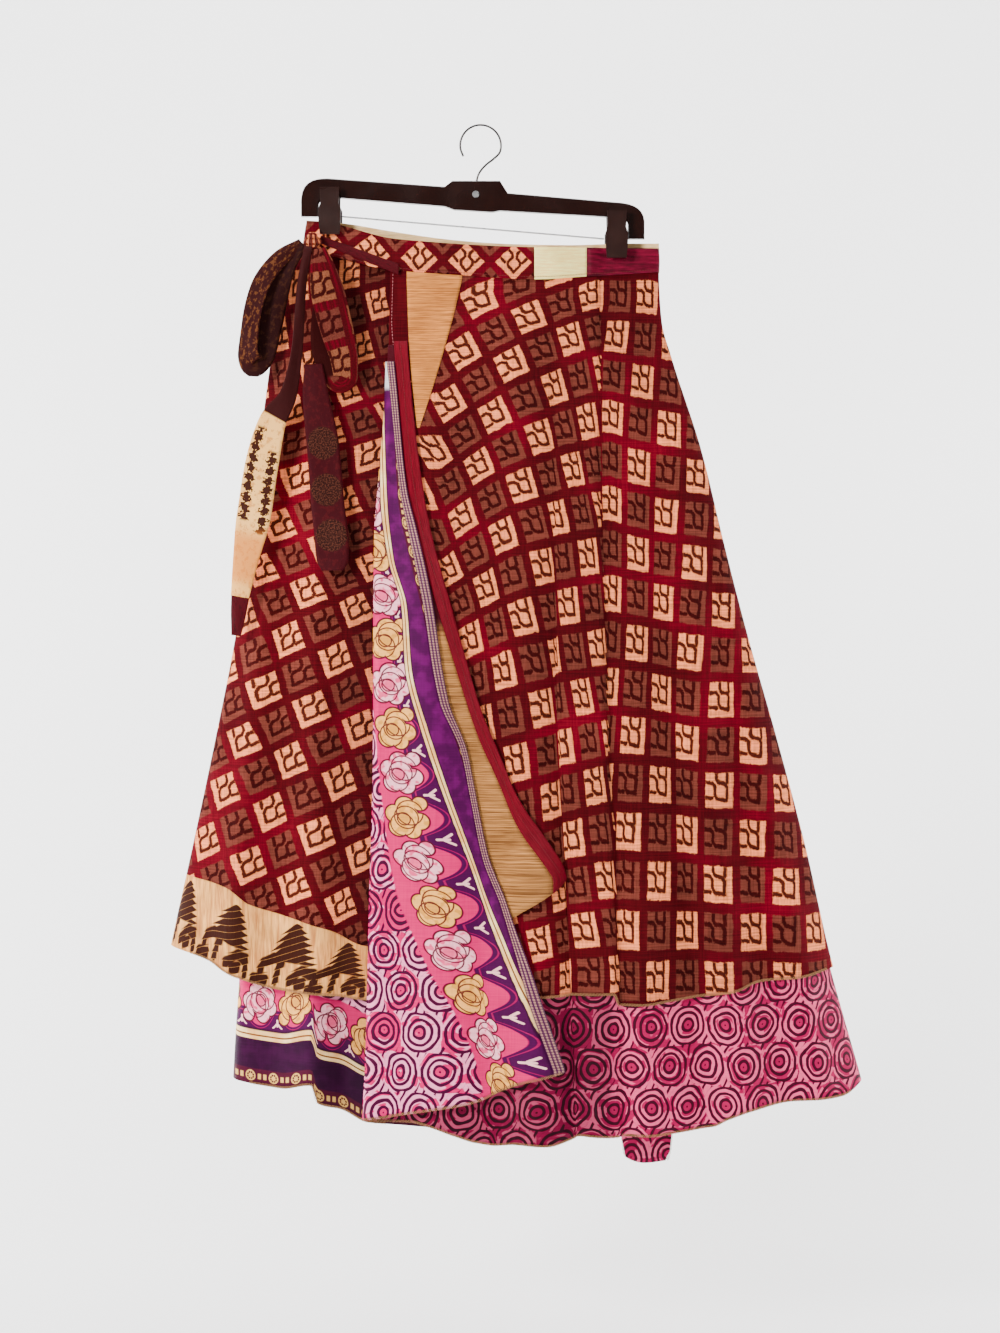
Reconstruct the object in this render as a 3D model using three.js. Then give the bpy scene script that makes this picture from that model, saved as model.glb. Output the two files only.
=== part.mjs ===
// Two-layer wrap skirt on a clip hanger. Units mm, +Z up, front faces -Y, origin at the hook's inside top.
import * as THREE from 'three';

const CLOTH = 1.2;          // wall of one cloth layer
const LAYER = 1.8;          // spacing from one cloth layer to the next
const SEAM_GAP = 0.3;       // clearance between pieces that are sewn together
const BAND_WALL = 3.0;      // waistband, folded double
const BAR_DEPTH = 10;       // hanger bar, front to back
const WIRE_R = 1.1;         // hook and cross wire radius
const HOOK_R = 21;          // hook centreline radius

// half outline of both layers: d is the drop below the origin
const outline = [
  { d: 90, outerLeft: -177, outerRight: 182, innerLeft: -177, innerRight: 182, front: 5, back: 4 },
  { d: 130, outerLeft: -183, outerRight: 182.5, innerLeft: -181, innerRight: 182.5, front: 6, back: 5 },
  { d: 157, outerLeft: -197, outerRight: 183, innerLeft: -186, innerRight: 183, front: 8, back: 6 },
  { d: 200, outerLeft: -209, outerRight: 186, innerLeft: -193, innerRight: 186, front: 13, back: 11 },
  { d: 239, outerLeft: -216, outerRight: 197, innerLeft: -200, innerRight: 197, front: 18, back: 15 },
  { d: 332, outerLeft: -229, outerRight: 228, innerLeft: -212, innerRight: 228, front: 27, back: 22 },
  { d: 430, outerLeft: -240, outerRight: 253, innerLeft: -222, innerRight: 253, front: 34, back: 30 },
  { d: 528, outerLeft: -256, outerRight: 279, innerLeft: -230, innerRight: 279, front: 41, back: 37 },
  { d: 632, outerLeft: -277, outerRight: 309, innerLeft: -238, innerRight: 308, front: 48, back: 43 },
  { d: 747, outerLeft: -302, outerRight: 340, innerLeft: -245, innerRight: 338, front: 55, back: 49 },
  { d: 859, outerLeft: -327, outerRight: 366, innerLeft: -255, innerRight: 364, front: 61, back: 55 },
  { d: 990, outerLeft: -352, outerRight: 403, innerLeft: -264, innerRight: 403, front: 68, back: 61 },
  { d: 1090, outerLeft: -372, outerRight: 430, innerLeft: -268, innerRight: 428, front: 73, back: 66 },
];

// soft folds: x at three heights, height out of the panel and half width at the waist and at the hem
const frontFolds = [
  { top: -186, mid: -228, low: -262, risTop: 1, risLow: 7, wideTop: 9, wideLow: 16 },
  { top: -164, mid: -200, low: -214, risTop: -1, risLow: -6, wideTop: 9, wideLow: 18 },
  { top: -150, mid: -169, low: -172, risTop: 1, risLow: 6, wideTop: 9, wideLow: 16 },
  { top: -118, mid: -140, low: -138, risTop: -1, risLow: -6, wideTop: 9, wideLow: 15 },
  { top: -60, mid: -60, low: -40, risTop: 1, risLow: 6, wideTop: 18, wideLow: 30 },
  { top: -10, mid: -5, low: 8, risTop: 0, risLow: -4, wideTop: 18, wideLow: 24 },
  { top: 41, mid: 46, low: 56, risTop: 1, risLow: 6, wideTop: 16, wideLow: 20 },
  { top: 75, mid: 77, low: 92, risTop: -1, risLow: -7, wideTop: 12, wideLow: 15 },
  { top: 112, mid: 116, low: 126, risTop: 1, risLow: 3, wideTop: 12, wideLow: 14 },
  { top: 150, mid: 156, low: 168, risTop: 1, risLow: 7, wideTop: 8, wideLow: 15 },
  { top: 164, mid: 190, low: 222, risTop: -1, risLow: -8, wideTop: 8, wideLow: 20 },
  { top: 172, mid: 226, low: 262, risTop: 0, risLow: 6, wideTop: 8, wideLow: 18 },
  { top: 176, mid: 248, low: 300, risTop: 0, risLow: -6, wideTop: 8, wideLow: 17 },
  { top: 180, mid: 262, low: 336, risTop: 0, risLow: 5, wideTop: 8, wideLow: 16 },
];
const backFolds = [
  { top: -150, mid: -196, low: -246, risTop: 1, risLow: 9, wideTop: 12, wideLow: 22 },
  { top: -110, mid: -150, low: -186, risTop: -1, risLow: -9, wideTop: 12, wideLow: 24 },
  { top: -70, mid: -92, low: -112, risTop: 1, risLow: 10, wideTop: 14, wideLow: 24 },
  { top: -25, mid: -32, low: -42, risTop: -1, risLow: -8, wideTop: 14, wideLow: 24 },
  { top: 20, mid: 24, low: 30, risTop: 1, risLow: 11, wideTop: 14, wideLow: 26 },
  { top: 62, mid: 84, low: 104, risTop: -1, risLow: -9, wideTop: 14, wideLow: 24 },
  { top: 104, mid: 146, low: 184, risTop: 1, risLow: 10, wideTop: 12, wideLow: 24 },
  { top: 140, mid: 204, low: 262, risTop: -1, risLow: -8, wideTop: 12, wideLow: 24 },
  { top: 166, mid: 246, low: 328, risTop: 0, risLow: 7, wideTop: 10, wideLow: 20 },
];

// lines that run down the front, x against the drop
const foldLine = [[140, -94], [279, -97], [362, -103], [424, -107], [640, -108], [800, -112], [955, -115], [1030, -118]];
const outerEdge = [[150, -79], [237, -73], [314, -65], [414, -52], [487, -33], [591, -1], [674, 35], [770, 82]];
const innerEdge = [[240, -88], [372, -72], [414, -63], [487, -50], [591, -35], [643, -14], [695, -2], [747, 10],
  [799, 33], [851, 50], [903, 62], [965, 77]];
const pressLine = [[90, 122], [362, 121], [468, 124], [591, 127], [674, 130], [726, 134], [799, 135], [892, 140],
  [1090, 142]];

// edges that run across, drop against x
const frontSeam = [[-190, 126], [-160, 132], [-94, 148], [-19, 154], [58, 158], [109, 155], [190, 149]];
const backSeam = [[-190, 130], [-94, 141], [0, 151], [100, 155], [190, 150]];
const frontTop = [[-190, 97], [-160, 98], [-141, 103], [-91, 116], [-60, 119], [-3, 123], [54, 125], [190, 125.5]];
const underTop = [[-190, 96], [-160, 99], [-141, 105], [-91, 118], [-60, 121], [-3, 125], [54, 127], [190, 128]];
const backTop = [[-190, 96], [-160, 97], [-133, 100], [-98, 106], [-35, 115], [-1, 118], [37, 120], [95, 121],
  [150, 119.5], [190, 120]];
const outerHem = [[-20, 893], [70, 892], [134, 890], [142, 902], [161, 902], [206, 898], [258, 891], [285, 882],
  [319, 880], [366, 872]];
const underHem = [[-330, 847], [-279, 861], [-253, 876], [-213, 888], [-165, 892], [-115, 897], [150, 894]];
const borderTop = [[-312, 773], [-260, 785], [-240, 801], [-180, 818], [-159, 825], [-114, 842], [150, 846]];
const outerBackHem = [[-330, 847], [-240, 872], [-100, 888], [100, 890], [250, 884], [370, 871]];
const innerHem = [[-118, 1020], [-71, 1020], [-49, 1025], [-27, 1033], [-7, 1041], [15, 1045], [39, 1043], [68, 1044],
  [82, 1041], [111, 1036], [181, 1036], [208, 1034], [240, 1031], [256, 1022], [276, 1014], [308, 1009],
  [353, 1005], [376, 1004], [403, 990]];
const innerUnderHem = [[-258, 989], [-207, 994], [-174, 987], [-168, 1005], [-145, 1012], [-115, 1024], [150, 1030]];
const innerBackHem = [[-258, 989], [-120, 1012], [0, 1026], [120, 1030], [148, 1040], [155, 1090], [178, 1098],
  [202, 1096], [209, 1040], [300, 1010], [403, 990]];
const hangLeft = [[90, 76], [1090, 155]], hangRight = [[90, 120], [1090, 202]];   // sides of the corner that hangs lowest
const outerTurnHem = [[-116, 892], [35, 812], [68, 785], [84, 768]];
const innerTurnHem = [[-120, 1018], [-27, 1001], [4, 993], [80, 966]];

const look = (table, at) => {                 // smooth reading of a table of pairs
  if (at <= table[0][0]) return table[0][1];
  for (let i = 1; i < table.length; i++) {
    const [a, p] = table[i - 1], [b, q] = table[i];
    if (at <= b) return p + (q - p) * (at - a) / (b - a);
  }
  return table[table.length - 1][1];
};
const column = (rows, key, d) => look(rows.map((r) => [r.d, r[key]]), d);
const ease = (t) => { const c = Math.min(1, Math.max(0, t)); return c * c * (3 - 2 * c); };
const spacing = (d) => LAYER * (1 + 0.9 * ease((d - 170) / 350));   // layers hang looser further down

function foldRise(folds, x, d) {
  let sum = 0;
  for (const f of folds) {
    const t = (d - 150) / (892 - 150);
    const at = look([[150, f.top], [528, f.mid], [892, f.low], [1090, f.low + (f.low - f.mid) * 0.5]], d);
    const wide = f.wideTop + (f.wideLow - f.wideTop) * Math.max(0, t);
    const rise = f.risTop + (f.risLow - f.risTop) * Math.max(0, Math.min(1.25, t));
    sum += (d < 150 ? 0 : rise) * Math.exp(-(((x - at) / wide) ** 2));
  }
  return sum * ease((d - 150) / 60);
}

function ends(layer, d) {                       // left end, middle and right end of a layer's section
  const inset = 2 * spacing(d), mid = (column(outline, 'outerLeft', d) + column(outline, 'outerRight', d)) / 2;
  return [column(outline, layer + 'Left', d) + inset, mid, column(outline, layer + 'Right', d) - inset];
}
// section of one layer at a drop: s 0 is the left seam, 0..1 the front, 1 the right seam, 1..2 the back
function basePoint(layer, s, d) {
  const [left, mid, right] = ends(layer, d), angle = Math.PI * s;
  const run = Math.cos(angle), side = Math.sin(angle);
  const x = run > 0 ? mid - (mid - left) * run : mid - (right - mid) * run;
  const isFront = s <= 1;
  const depth = column(outline, isFront ? 'front' : 'back', d);
  const [l, m, r] = ends('outer', d), t = x < m ? (m - x) / (m - l) : (x - m) / (r - m);
  const window = ease(Math.sqrt(Math.max(0, 1 - t * t)) / 0.45) * ease(Math.abs(side) / 0.25);
  const folds = foldRise(isFront ? frontFolds : backFolds, x, d) * window;
  return [x, -side * depth + (isFront ? -folds : folds) + 2];
}
function clothPoint(layer, s, d, off) {
  const e = 0.004, a = basePoint(layer, s - e, d), b = basePoint(layer, s + e, d), p = basePoint(layer, s, d);
  let nx = b[1] - a[1], ny = a[0] - b[0];
  if (s === 0 || s === 2) { nx = -1; ny = 0; } else if (s === 1) { nx = 1; ny = 0; }
  const n = Math.hypot(nx, ny) || 1;
  return [p[0] + nx / n * off, p[1] + ny / n * off, -d];
}
function sideOf(layer, x, d) {                  // front parameter s of a given x
  const [left, mid, right] = ends(layer, d);
  return Math.acos(Math.max(-1, Math.min(1, x < mid ? (mid - x) / (mid - left) : (mid - x) / (right - mid)))) / Math.PI;
}
const lift = (x, d) => 2 * spacing(d) * (1 - ease((x - look(pressLine, d) + 8) / 13));

const group = new THREE.Group();
group.name = 'wrap_skirt';
function add(name, positions, index, color, rough = 0.8, metal = 0) {
  const g = new THREE.BufferGeometry();
  g.setAttribute('position', new THREE.Float32BufferAttribute(positions, 3));
  g.setIndex(index);
  let volume = 0;
  const p = g.attributes.position, v = (i) => new THREE.Vector3().fromBufferAttribute(p, i);
  for (let i = 0; i < index.length; i += 3) volume += v(index[i]).dot(v(index[i + 1]).cross(v(index[i + 2])));
  if (volume < 0) g.setIndex(index.map((_, i) => index[i - (i % 3) + [0, 2, 1][i % 3]]));
  g.computeVertexNormals();
  const mesh = new THREE.Mesh(g, new THREE.MeshStandardMaterial({ color, roughness: rough, metalness: metal }));
  mesh.name = name;
  group.add(mesh);
}
function shell(name, outer, inner, color) {     // closed wall between two grids of points
  const rows = outer.length, cols = outer[0].length, positions = [], index = [];
  for (const grid of [outer, inner]) for (const row of grid) for (const p of row) positions.push(...p);
  const at = (k, i, j) => k * rows * cols + i * cols + j;
  const quad = (a, b, c, d) => index.push(a, b, c, a, c, d);
  for (let i = 0; i + 1 < rows; i++) for (let j = 0; j + 1 < cols; j++) {
    quad(at(0, i, j), at(0, i + 1, j), at(0, i + 1, j + 1), at(0, i, j + 1));
    quad(at(1, i, j), at(1, i, j + 1), at(1, i + 1, j + 1), at(1, i + 1, j));
  }
  for (let i = 0; i + 1 < rows; i++) {
    quad(at(0, i, 0), at(1, i, 0), at(1, i + 1, 0), at(0, i + 1, 0));
    quad(at(0, i, cols - 1), at(0, i + 1, cols - 1), at(1, i + 1, cols - 1), at(1, i, cols - 1));
  }
  for (let j = 0; j + 1 < cols; j++) {
    quad(at(0, 0, j), at(0, 0, j + 1), at(1, 0, j + 1), at(1, 0, j));
    quad(at(0, rows - 1, j), at(1, rows - 1, j), at(1, rows - 1, j + 1), at(0, rows - 1, j + 1));
  }
  add(name, positions, index, color);
}
// stops: the lines that bound the columns ('left', 'right' seams or x against drop); counts: columns between them
function clothPanel(name, color, o) {
  const { layer, stops, counts, rows, top, hem, off = () => 0, wall = CLOTH, back = false } = o;
  const outer = [], inner = [], levels = Array.isArray(rows) ? rows : null;
  const last = levels ? levels.length + 1 : rows;
  const reach = (i, t, h) => (i === 0 ? t : i === last ? h : levels ? levels[i - 1] : t + (h - t) * i / last);
  for (let i = 0; i <= last; i++) {
    const rowOut = [], rowIn = [];
    for (let k = 0; k < counts.length; k++) for (let j = k ? 1 : 0; j <= counts[k]; j++) {
      const f = j / counts[k];
      let d = reach(i, look(top, 0), look(hem, 0)), s = 0;
      for (let turn = 0; turn < 4; turn++) {
        const bounds = [stops[k], stops[k + 1]].map((stop) => {
          if (stop === 'left') return back ? 2 : 0;
          if (stop === 'right') return 1;
          const q = sideOf(layer, typeof stop === 'function' ? stop(d) : stop, d);
          return back ? 2 - q : q;
        });
        s = bounds[0] + (bounds[1] - bounds[0]) * f;
        if (typeof stops[k] !== 'string' && typeof stops[k + 1] !== 'string') {
          const [xa, xb] = [stops[k], stops[k + 1]].map((q) => (typeof q === 'function' ? q(d) : q));
          s = sideOf(layer, xa + (xb - xa) * f, d);
          if (back) s = 2 - s;
        }
        const x = basePoint(layer, s, d)[0];
        d = reach(i, look(top, x), look(hem, x));
      }
      const x = basePoint(layer, s, d)[0], o0 = off(x, d);
      const shift = s === 0 || s === 1 || s === 2 ? (back ? SEAM_GAP / 2 : -SEAM_GAP / 2) : 0;
      for (const [list, o1] of [[rowOut, o0 + wall], [rowIn, o0]]) {
        const p = clothPoint(layer, s, d, o1);
        list.push([p[0], p[1] + shift, p[2]]);
      }
    }
    outer.push(rowOut);
    inner.push(rowIn);
  }
  shell(name, outer, inner, color);
}
const line = (table, add0 = 0) => (d) => look(table, d) + add0;
const drop = (table, add0) => table.map(([x, d]) => [x, d + add0]);

const maroon = 0x7a0a22, cream = 0xe6c496, pink = 0xc33a78, purple = 0x4a1a78, plastic = 0x1c1715, steel = 0x9a9a98;

// columns shared by the layers that lie on each other
const underStops = ['left', -174, -168, line(foldLine), line(pressLine, -8)], underCounts = [5, 1, 3, 9];
const frontStops = [line(foldLine), line(pressLine, -8), line(pressLine, 5), 'right'], frontCounts = [9, 2, 10];
const backStops = ['right', line(hangRight, 7), line(hangRight), line(hangLeft), line(hangLeft, -7), 'left'], backCounts = [6, 1, 2, 1, 13];
const upper = [176, 200, 239, 285, 332, 430, 528, 632, 747];          // drops of the rows of points
const outerRows = [...upper, 830], innerRows = [...outerRows, 900, 955];
const turned = (x, d) => 4 * spacing(d) + 1;   // the turned-back edge lies loosely on the flap

// outer layer
clothPanel('outer_under', maroon, { layer: 'outer', stops: underStops, counts: underCounts, rows: upper, top: drop(frontSeam, 0.9), hem: drop(borderTop, -0.15), off: (x, d) => spacing(d) });
clothPanel('outer_hem_border', cream, { layer: 'outer', stops: underStops, counts: underCounts, rows: 1, top: drop(borderTop, 0.15), hem: underHem, off: (x, d) => spacing(d) });
clothPanel('outer_front', maroon, { layer: 'outer', stops: frontStops, counts: frontCounts, rows: outerRows, top: drop(frontSeam, 0.9), hem: outerHem,
  off: (x, d) => spacing(d) + lift(x, d) });
clothPanel('outer_back', maroon, { layer: 'outer', back: true, stops: backStops, counts: backCounts, rows: outerRows,
  top: drop(backSeam, 0.8), hem: outerBackHem, off: (x, d) => spacing(d) });
// inner layer
clothPanel('inner_under', pink, { layer: 'inner', stops: underStops, counts: underCounts, rows: innerRows, top: drop(frontSeam, 0.9), hem: innerUnderHem });
clothPanel('inner_front', pink, { layer: 'outer', stops: frontStops, counts: frontCounts, rows: innerRows, top: drop(frontSeam, 0.9), hem: innerHem, off: lift });
clothPanel('inner_back', pink, { layer: 'inner', back: true, stops: backStops, counts: backCounts, rows: innerRows,
  top: drop(backSeam, 0.8), hem: innerBackHem });
// turned-back edge of the flap, outer layer below and pink layer above it
const turnTopO = [[-120, 240], [90, 240]], turnTopI = [[-120, 252], [90, 252]];
clothPanel('outer_turned', cream, { layer: 'outer', stops: [line(foldLine, 1), line(outerEdge, -14.6)],
  counts: [7], rows: 12, top: turnTopO, hem: outerTurnHem, off: turned });
clothPanel('outer_edge_binding', 0xa01030, { layer: 'outer', stops: [line(outerEdge, -14), line(outerEdge)],
  counts: [1], rows: 12, top: turnTopO, hem: outerTurnHem, off: turned });
clothPanel('inner_turned', pink, { layer: 'outer', stops: [line(foldLine, 1), line(innerEdge, -8.6)],
  counts: [8], rows: 15, top: turnTopI, hem: innerTurnHem, off: (x, d) => turned(x, d) + spacing(d) });
clothPanel('turned_trim', 0xc9a9b4, { layer: 'outer', stops: [line(innerEdge, -8), line(innerEdge)],
  counts: [1], rows: 15, top: turnTopI, hem: innerTurnHem, off: (x, d) => turned(x, d) + spacing(d) });
clothPanel('cream_gore', cream, { layer: 'outer', stops: [line([[158, -78], [310, -66]]), line([[158, -20], [310, -62]])],
  counts: [3], rows: 6, top: drop(frontSeam, 1), hem: [[-200, 308], [200, 308]],
  off: (x, d) => 3 * spacing(d) + CLOTH + 0.5, wall: 1 });
// waistband
clothPanel('waistband_front', maroon, { layer: 'outer', stops: [-160, 55], counts: [10], rows: 1,
  top: frontTop, hem: frontSeam, off: lift, wall: BAND_WALL });
clothPanel('waistband_cream', cream, { layer: 'outer', stops: [55.3, 109], counts: [3], rows: 1,
  top: frontTop, hem: frontSeam, off: lift, wall: BAND_WALL });
clothPanel('waistband_plain', 0x5a0a30, { layer: 'outer', stops: [109.3, line(pressLine, -5), line(pressLine, 5), 'right'],
  counts: [1, 2, 5], rows: 1, top: frontTop, hem: frontSeam, off: lift, wall: BAND_WALL });
clothPanel('waistband_under', maroon, { layer: 'outer', stops: ['left', line(pressLine, -8)], counts: [12], rows: 1,
  top: underTop, hem: frontSeam, wall: BAND_WALL });
clothPanel('waistband_back', cream, { layer: 'outer', back: true, stops: ['right', 'left'], counts: [18], rows: 1,
  top: backTop, hem: backSeam, wall: BAND_WALL });

// ties: rows down a strip, x and drop of its middle, y of its back face, width and how far it is turned (degrees)
function ribbon(name, color, rows, wall = 1.6) {
  const outer = [], inner = [];
  rows.forEach((r, i) => {
    const a = rows[Math.max(0, i - 1)], b = rows[Math.min(rows.length - 1, i + 1)];
    const run = new THREE.Vector3(b.x - a.x, b.y - a.y, a.d - b.d).normalize();
    const turn = r.turn * Math.PI / 180;
    let face = new THREE.Vector3(Math.sin(turn), -Math.cos(turn), 0);
    if (r.over) face = new THREE.Vector3(0, 0, -1).multiplyScalar(r.over);
    face.addScaledVector(run, -face.dot(run)).normalize();
    const across = new THREE.Vector3().crossVectors(run, face).normalize().multiplyScalar(r.wide / 2);
    const p = new THREE.Vector3(r.x, r.y, -r.d), q = p.clone().addScaledVector(face, wall);
    inner.push([p.clone().sub(across).toArray(), p.toArray(), p.clone().add(across).toArray()]);
    outer.push([q.clone().sub(across).toArray(), q.clone().addScaledVector(face, 0.8).toArray(),
      q.clone().add(across).toArray()]);
  });
  shell(name, outer, inner, color);
}
ribbon('bow_loop_left', 0x4a1418, [
  { x: -185, y: -21, d: 124, wide: 12, turn: 0 }, { x: -203, y: -24, d: 141, wide: 24, turn: 0 },
  { x: -222, y: -27, d: 178, wide: 32, turn: -8 }, { x: -231, y: -28, d: 214, wide: 32, turn: -12 },
  { x: -235, y: -25, d: 240, wide: 24, turn: -14 }]);
ribbon('bow_loop_right', 0x6a1420, [
  { x: -164, y: -25, d: 132, wide: 14, turn: 0 }, { x: -157, y: -29, d: 150, wide: 24, turn: 4 },
  { x: -151, y: -31, d: 180, wide: 30, turn: 6 }, { x: -148, y: -32, d: 212, wide: 30, turn: 4 },
  { x: -150, y: -30, d: 240, wide: 24, turn: 0 }]);
ribbon('tie_tail_front', 0x4a0e18, [
  { x: -170, y: -28.4, d: 246, wide: 18, turn: 0 }, { x: -169, y: -31.5, d: 275, wide: 24, turn: 0 },
  { x: -161, y: -36, d: 330, wide: 31, turn: 3 }, { x: -156, y: -40, d: 390, wide: 31, turn: 0 },
  { x: -151, y: -43, d: 430, wide: 33, turn: -3 }, { x: -150, y: -44, d: 455, wide: 20, turn: -3 }]);
ribbon('tie_tail_side', 0xcaa070, [
  { x: -186, y: -18, d: 138, wide: 9, turn: 0 }, { x: -187, y: -25, d: 175, wide: 11, turn: 10 },
  { x: -191, y: -30, d: 230, wide: 12, turn: 20 }, { x: -203, y: -34, d: 285, wide: 20, turn: 16 },
  { x: -218, y: -35, d: 330, wide: 27, turn: 8 }, { x: -236, y: -36, d: 395, wide: 29, turn: 0 },
  { x: -247, y: -36, d: 450, wide: 19, turn: -6 }, { x: -250, y: -35, d: 484, wide: 14, turn: -8 },
  { x: -252, y: -34, d: 524, wide: 8, turn: -10 }], 1.4);
// the tie that runs from the flap's corner up to the knot, lying on the waistband
{
  const outer = [], inner = [];
  for (let i = 0; i <= 8; i++) {
    const f = i / 8, x = -84 - 78 * f, d = 148 - 30 * f;
    for (const [list, o] of [[outer, 4 * LAYER + 1.6], [inner, 4 * LAYER + 0.2]]) {
      list.push([-5, 5].map((w) => clothPoint('outer', sideOf('outer', x, d), d + w, o)));
    }
  }
  shell('tie_wrap', outer, inner, 0x3a1014);
}
{
  const g = new THREE.SphereGeometry(1, 14, 10);
  const p = g.attributes.position, index = Array.from(g.index.array), positions = [], ids = [], seen = new Map();
  for (let i = 0; i < p.count; i++) {
    const q = [p.getX(i), p.getY(i), p.getZ(i)], key = q.map((c) => c.toFixed(4)).join();
    if (!seen.has(key)) {
      seen.set(key, positions.length / 3);
      const pinch = 1 - 0.12 * Math.cos(6 * q[0]) * (1 - q[2] * q[2]);
      positions.push(-173 + 8 * q[0] * pinch, -18.5 + 6.5 * q[1], -121 + 9 * q[2] * pinch);
    }
    ids.push(seen.get(key));
  }
  const tri = [];
  for (let i = 0; i < index.length; i += 3) {
    const t = [ids[index[i]], ids[index[i + 1]], ids[index[i + 2]]];
    if (new Set(t).size === 3) tri.push(...t);
  }
  add('tie_knot', positions, tri, 0x5a1418);
}

// hanger
function addGeometry(name, g, color, rough, metal = 0) {
  const p = g.attributes.position, index = g.index ? Array.from(g.index.array) : [...Array(p.count).keys()];
  const positions = [], ids = [], seen = new Map();
  for (let i = 0; i < p.count; i++) {
    const key = [p.getX(i), p.getY(i), p.getZ(i)].map((c) => c.toFixed(3)).join();
    if (!seen.has(key)) { seen.set(key, positions.length / 3); positions.push(p.getX(i), p.getY(i), p.getZ(i)); }
    ids.push(seen.get(key));
  }
  const tri = [];
  for (let i = 0; i < index.length; i += 3) {
    const t = [ids[index[i]], ids[index[i + 1]], ids[index[i + 2]]];
    if (new Set(t).size === 3) tri.push(...t);
  }
  add(name, positions, tri, color, rough, metal);
}
const barShape = new THREE.Shape();
barShape.moveTo(-185, -93);
barShape.lineTo(-185, -76);
barShape.bezierCurveTo(-184, -60, -176, -54, -158, -54);
barShape.lineTo(-37, -62.5);
barShape.lineTo(-29, -56.5);
barShape.lineTo(20, -56.5);
barShape.lineTo(28, -69);
barShape.lineTo(146, -79);
barShape.bezierCurveTo(160, -81, 168, -86, 169, -98);
barShape.lineTo(169, -116);
barShape.lineTo(152, -116);
barShape.lineTo(152, -100);
barShape.bezierCurveTo(151, -97, 149, -95, 144, -94);
barShape.lineTo(20, -87);
barShape.lineTo(12, -88.5);
barShape.lineTo(-27, -86);
barShape.lineTo(-37, -82.5);
barShape.lineTo(-156, -73);
barShape.bezierCurveTo(-160, -73, -166, -75, -167, -80);
barShape.lineTo(-167, -93);
barShape.closePath();
const bar = new THREE.ExtrudeGeometry(barShape, { depth: BAR_DEPTH - 2, bevelEnabled: true, bevelThickness: 1,
  bevelSize: 0.8, bevelOffset: -0.8, bevelSegments: 1, curveSegments: 6 });
bar.rotateX(Math.PI / 2);
bar.translate(0, BAR_DEPTH / 2 - 1, 0);
addGeometry('hanger_bar', bar, plastic, 0.3);
const tube = (points, radius, steps) => new THREE.ExtrudeGeometry(
  new THREE.Shape(Array.from({ length: 8 }, (_, i) => new THREE.Vector2(
    radius * Math.cos(i * Math.PI / 4), radius * Math.sin(i * Math.PI / 4)))),
  { steps, bevelEnabled: false, extrudePath: new THREE.CatmullRomCurve3(points.map((q) => new THREE.Vector3(...q))) });
const hookPath = [[-4, 0, -56.1], [-3.2, 0, -52.5], [-0.8, 0, -47], [5.2, 0, -40], [13.5, 0, -33.5]];
for (let a = -20; a <= 212; a += 23.2) {
  const t = a * Math.PI / 180;
  hookPath.push([HOOK_R * Math.cos(t), 0, -(HOOK_R - WIRE_R) + HOOK_R * Math.sin(t)]);
}
addGeometry('hanger_hook', tube(hookPath, WIRE_R, 44), 0x2a2624, 0.35, 0.8);
addGeometry('hanger_wire', tube([[-142.6, 0, -92.6], [-8, 0, -104], [127.4, 0, -115.4]], 0.9, 8), steel, 0.3, 0.9);
const rivet = new THREE.CylinderGeometry(3.2, 3.6, 1.2, 14);
rivet.translate(-5, -BAR_DEPTH / 2 - 0.9, -70.5);
const rp = rivet.attributes.position;
for (let i = 0; i < rp.count; i++) {
  const q = [rp.getX(i) + 5, rp.getY(i) + BAR_DEPTH / 2 + 0.9, rp.getZ(i) + 70.5];
  rp.setXYZ(i, -5 + q[0], -BAR_DEPTH / 2 - 0.9 + q[1], -70.5 + q[2]);
}
addGeometry('hook_rivet', rivet, steel, 0.3, 0.9);
// one clip: two jaws on a pivot block above the cloth
function clip(side, x, d, hung) {
  const box = (w, t, h) => new THREE.BoxGeometry(w, t, h);
  const front = new THREE.Shape();
  front.moveTo(-10, 0); front.lineTo(10, 0); front.lineTo(11.5, 14); front.lineTo(11.5, 26); front.lineTo(9.5, 31);
  front.lineTo(10, 48); front.lineTo(-10, 48); front.lineTo(-9.5, 31); front.lineTo(-11.5, 26);
  front.lineTo(-11.5, 14); front.closePath();
  for (const [name, y0] of [['front', -14.8], ['back', 11.8]]) {
    const g = new THREE.ExtrudeGeometry(front, { depth: 3, bevelEnabled: false });
    g.rotateX(Math.PI / 2);
    g.translate(x, y0 + 3, -d);
    addGeometry('clip_' + side + '_jaw_' + name, g, plastic, 0.35);
  }
  const pivot = box(14, 22.8, 7);
  pivot.translate(x, 0, -(hung + 3.5));
  addGeometry('clip_' + side + '_pivot', pivot, plastic, 0.4);
}
clip('left', -155, 112, 74.6);
clip('right', 140, 136, 96.6);

export default group;
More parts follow.
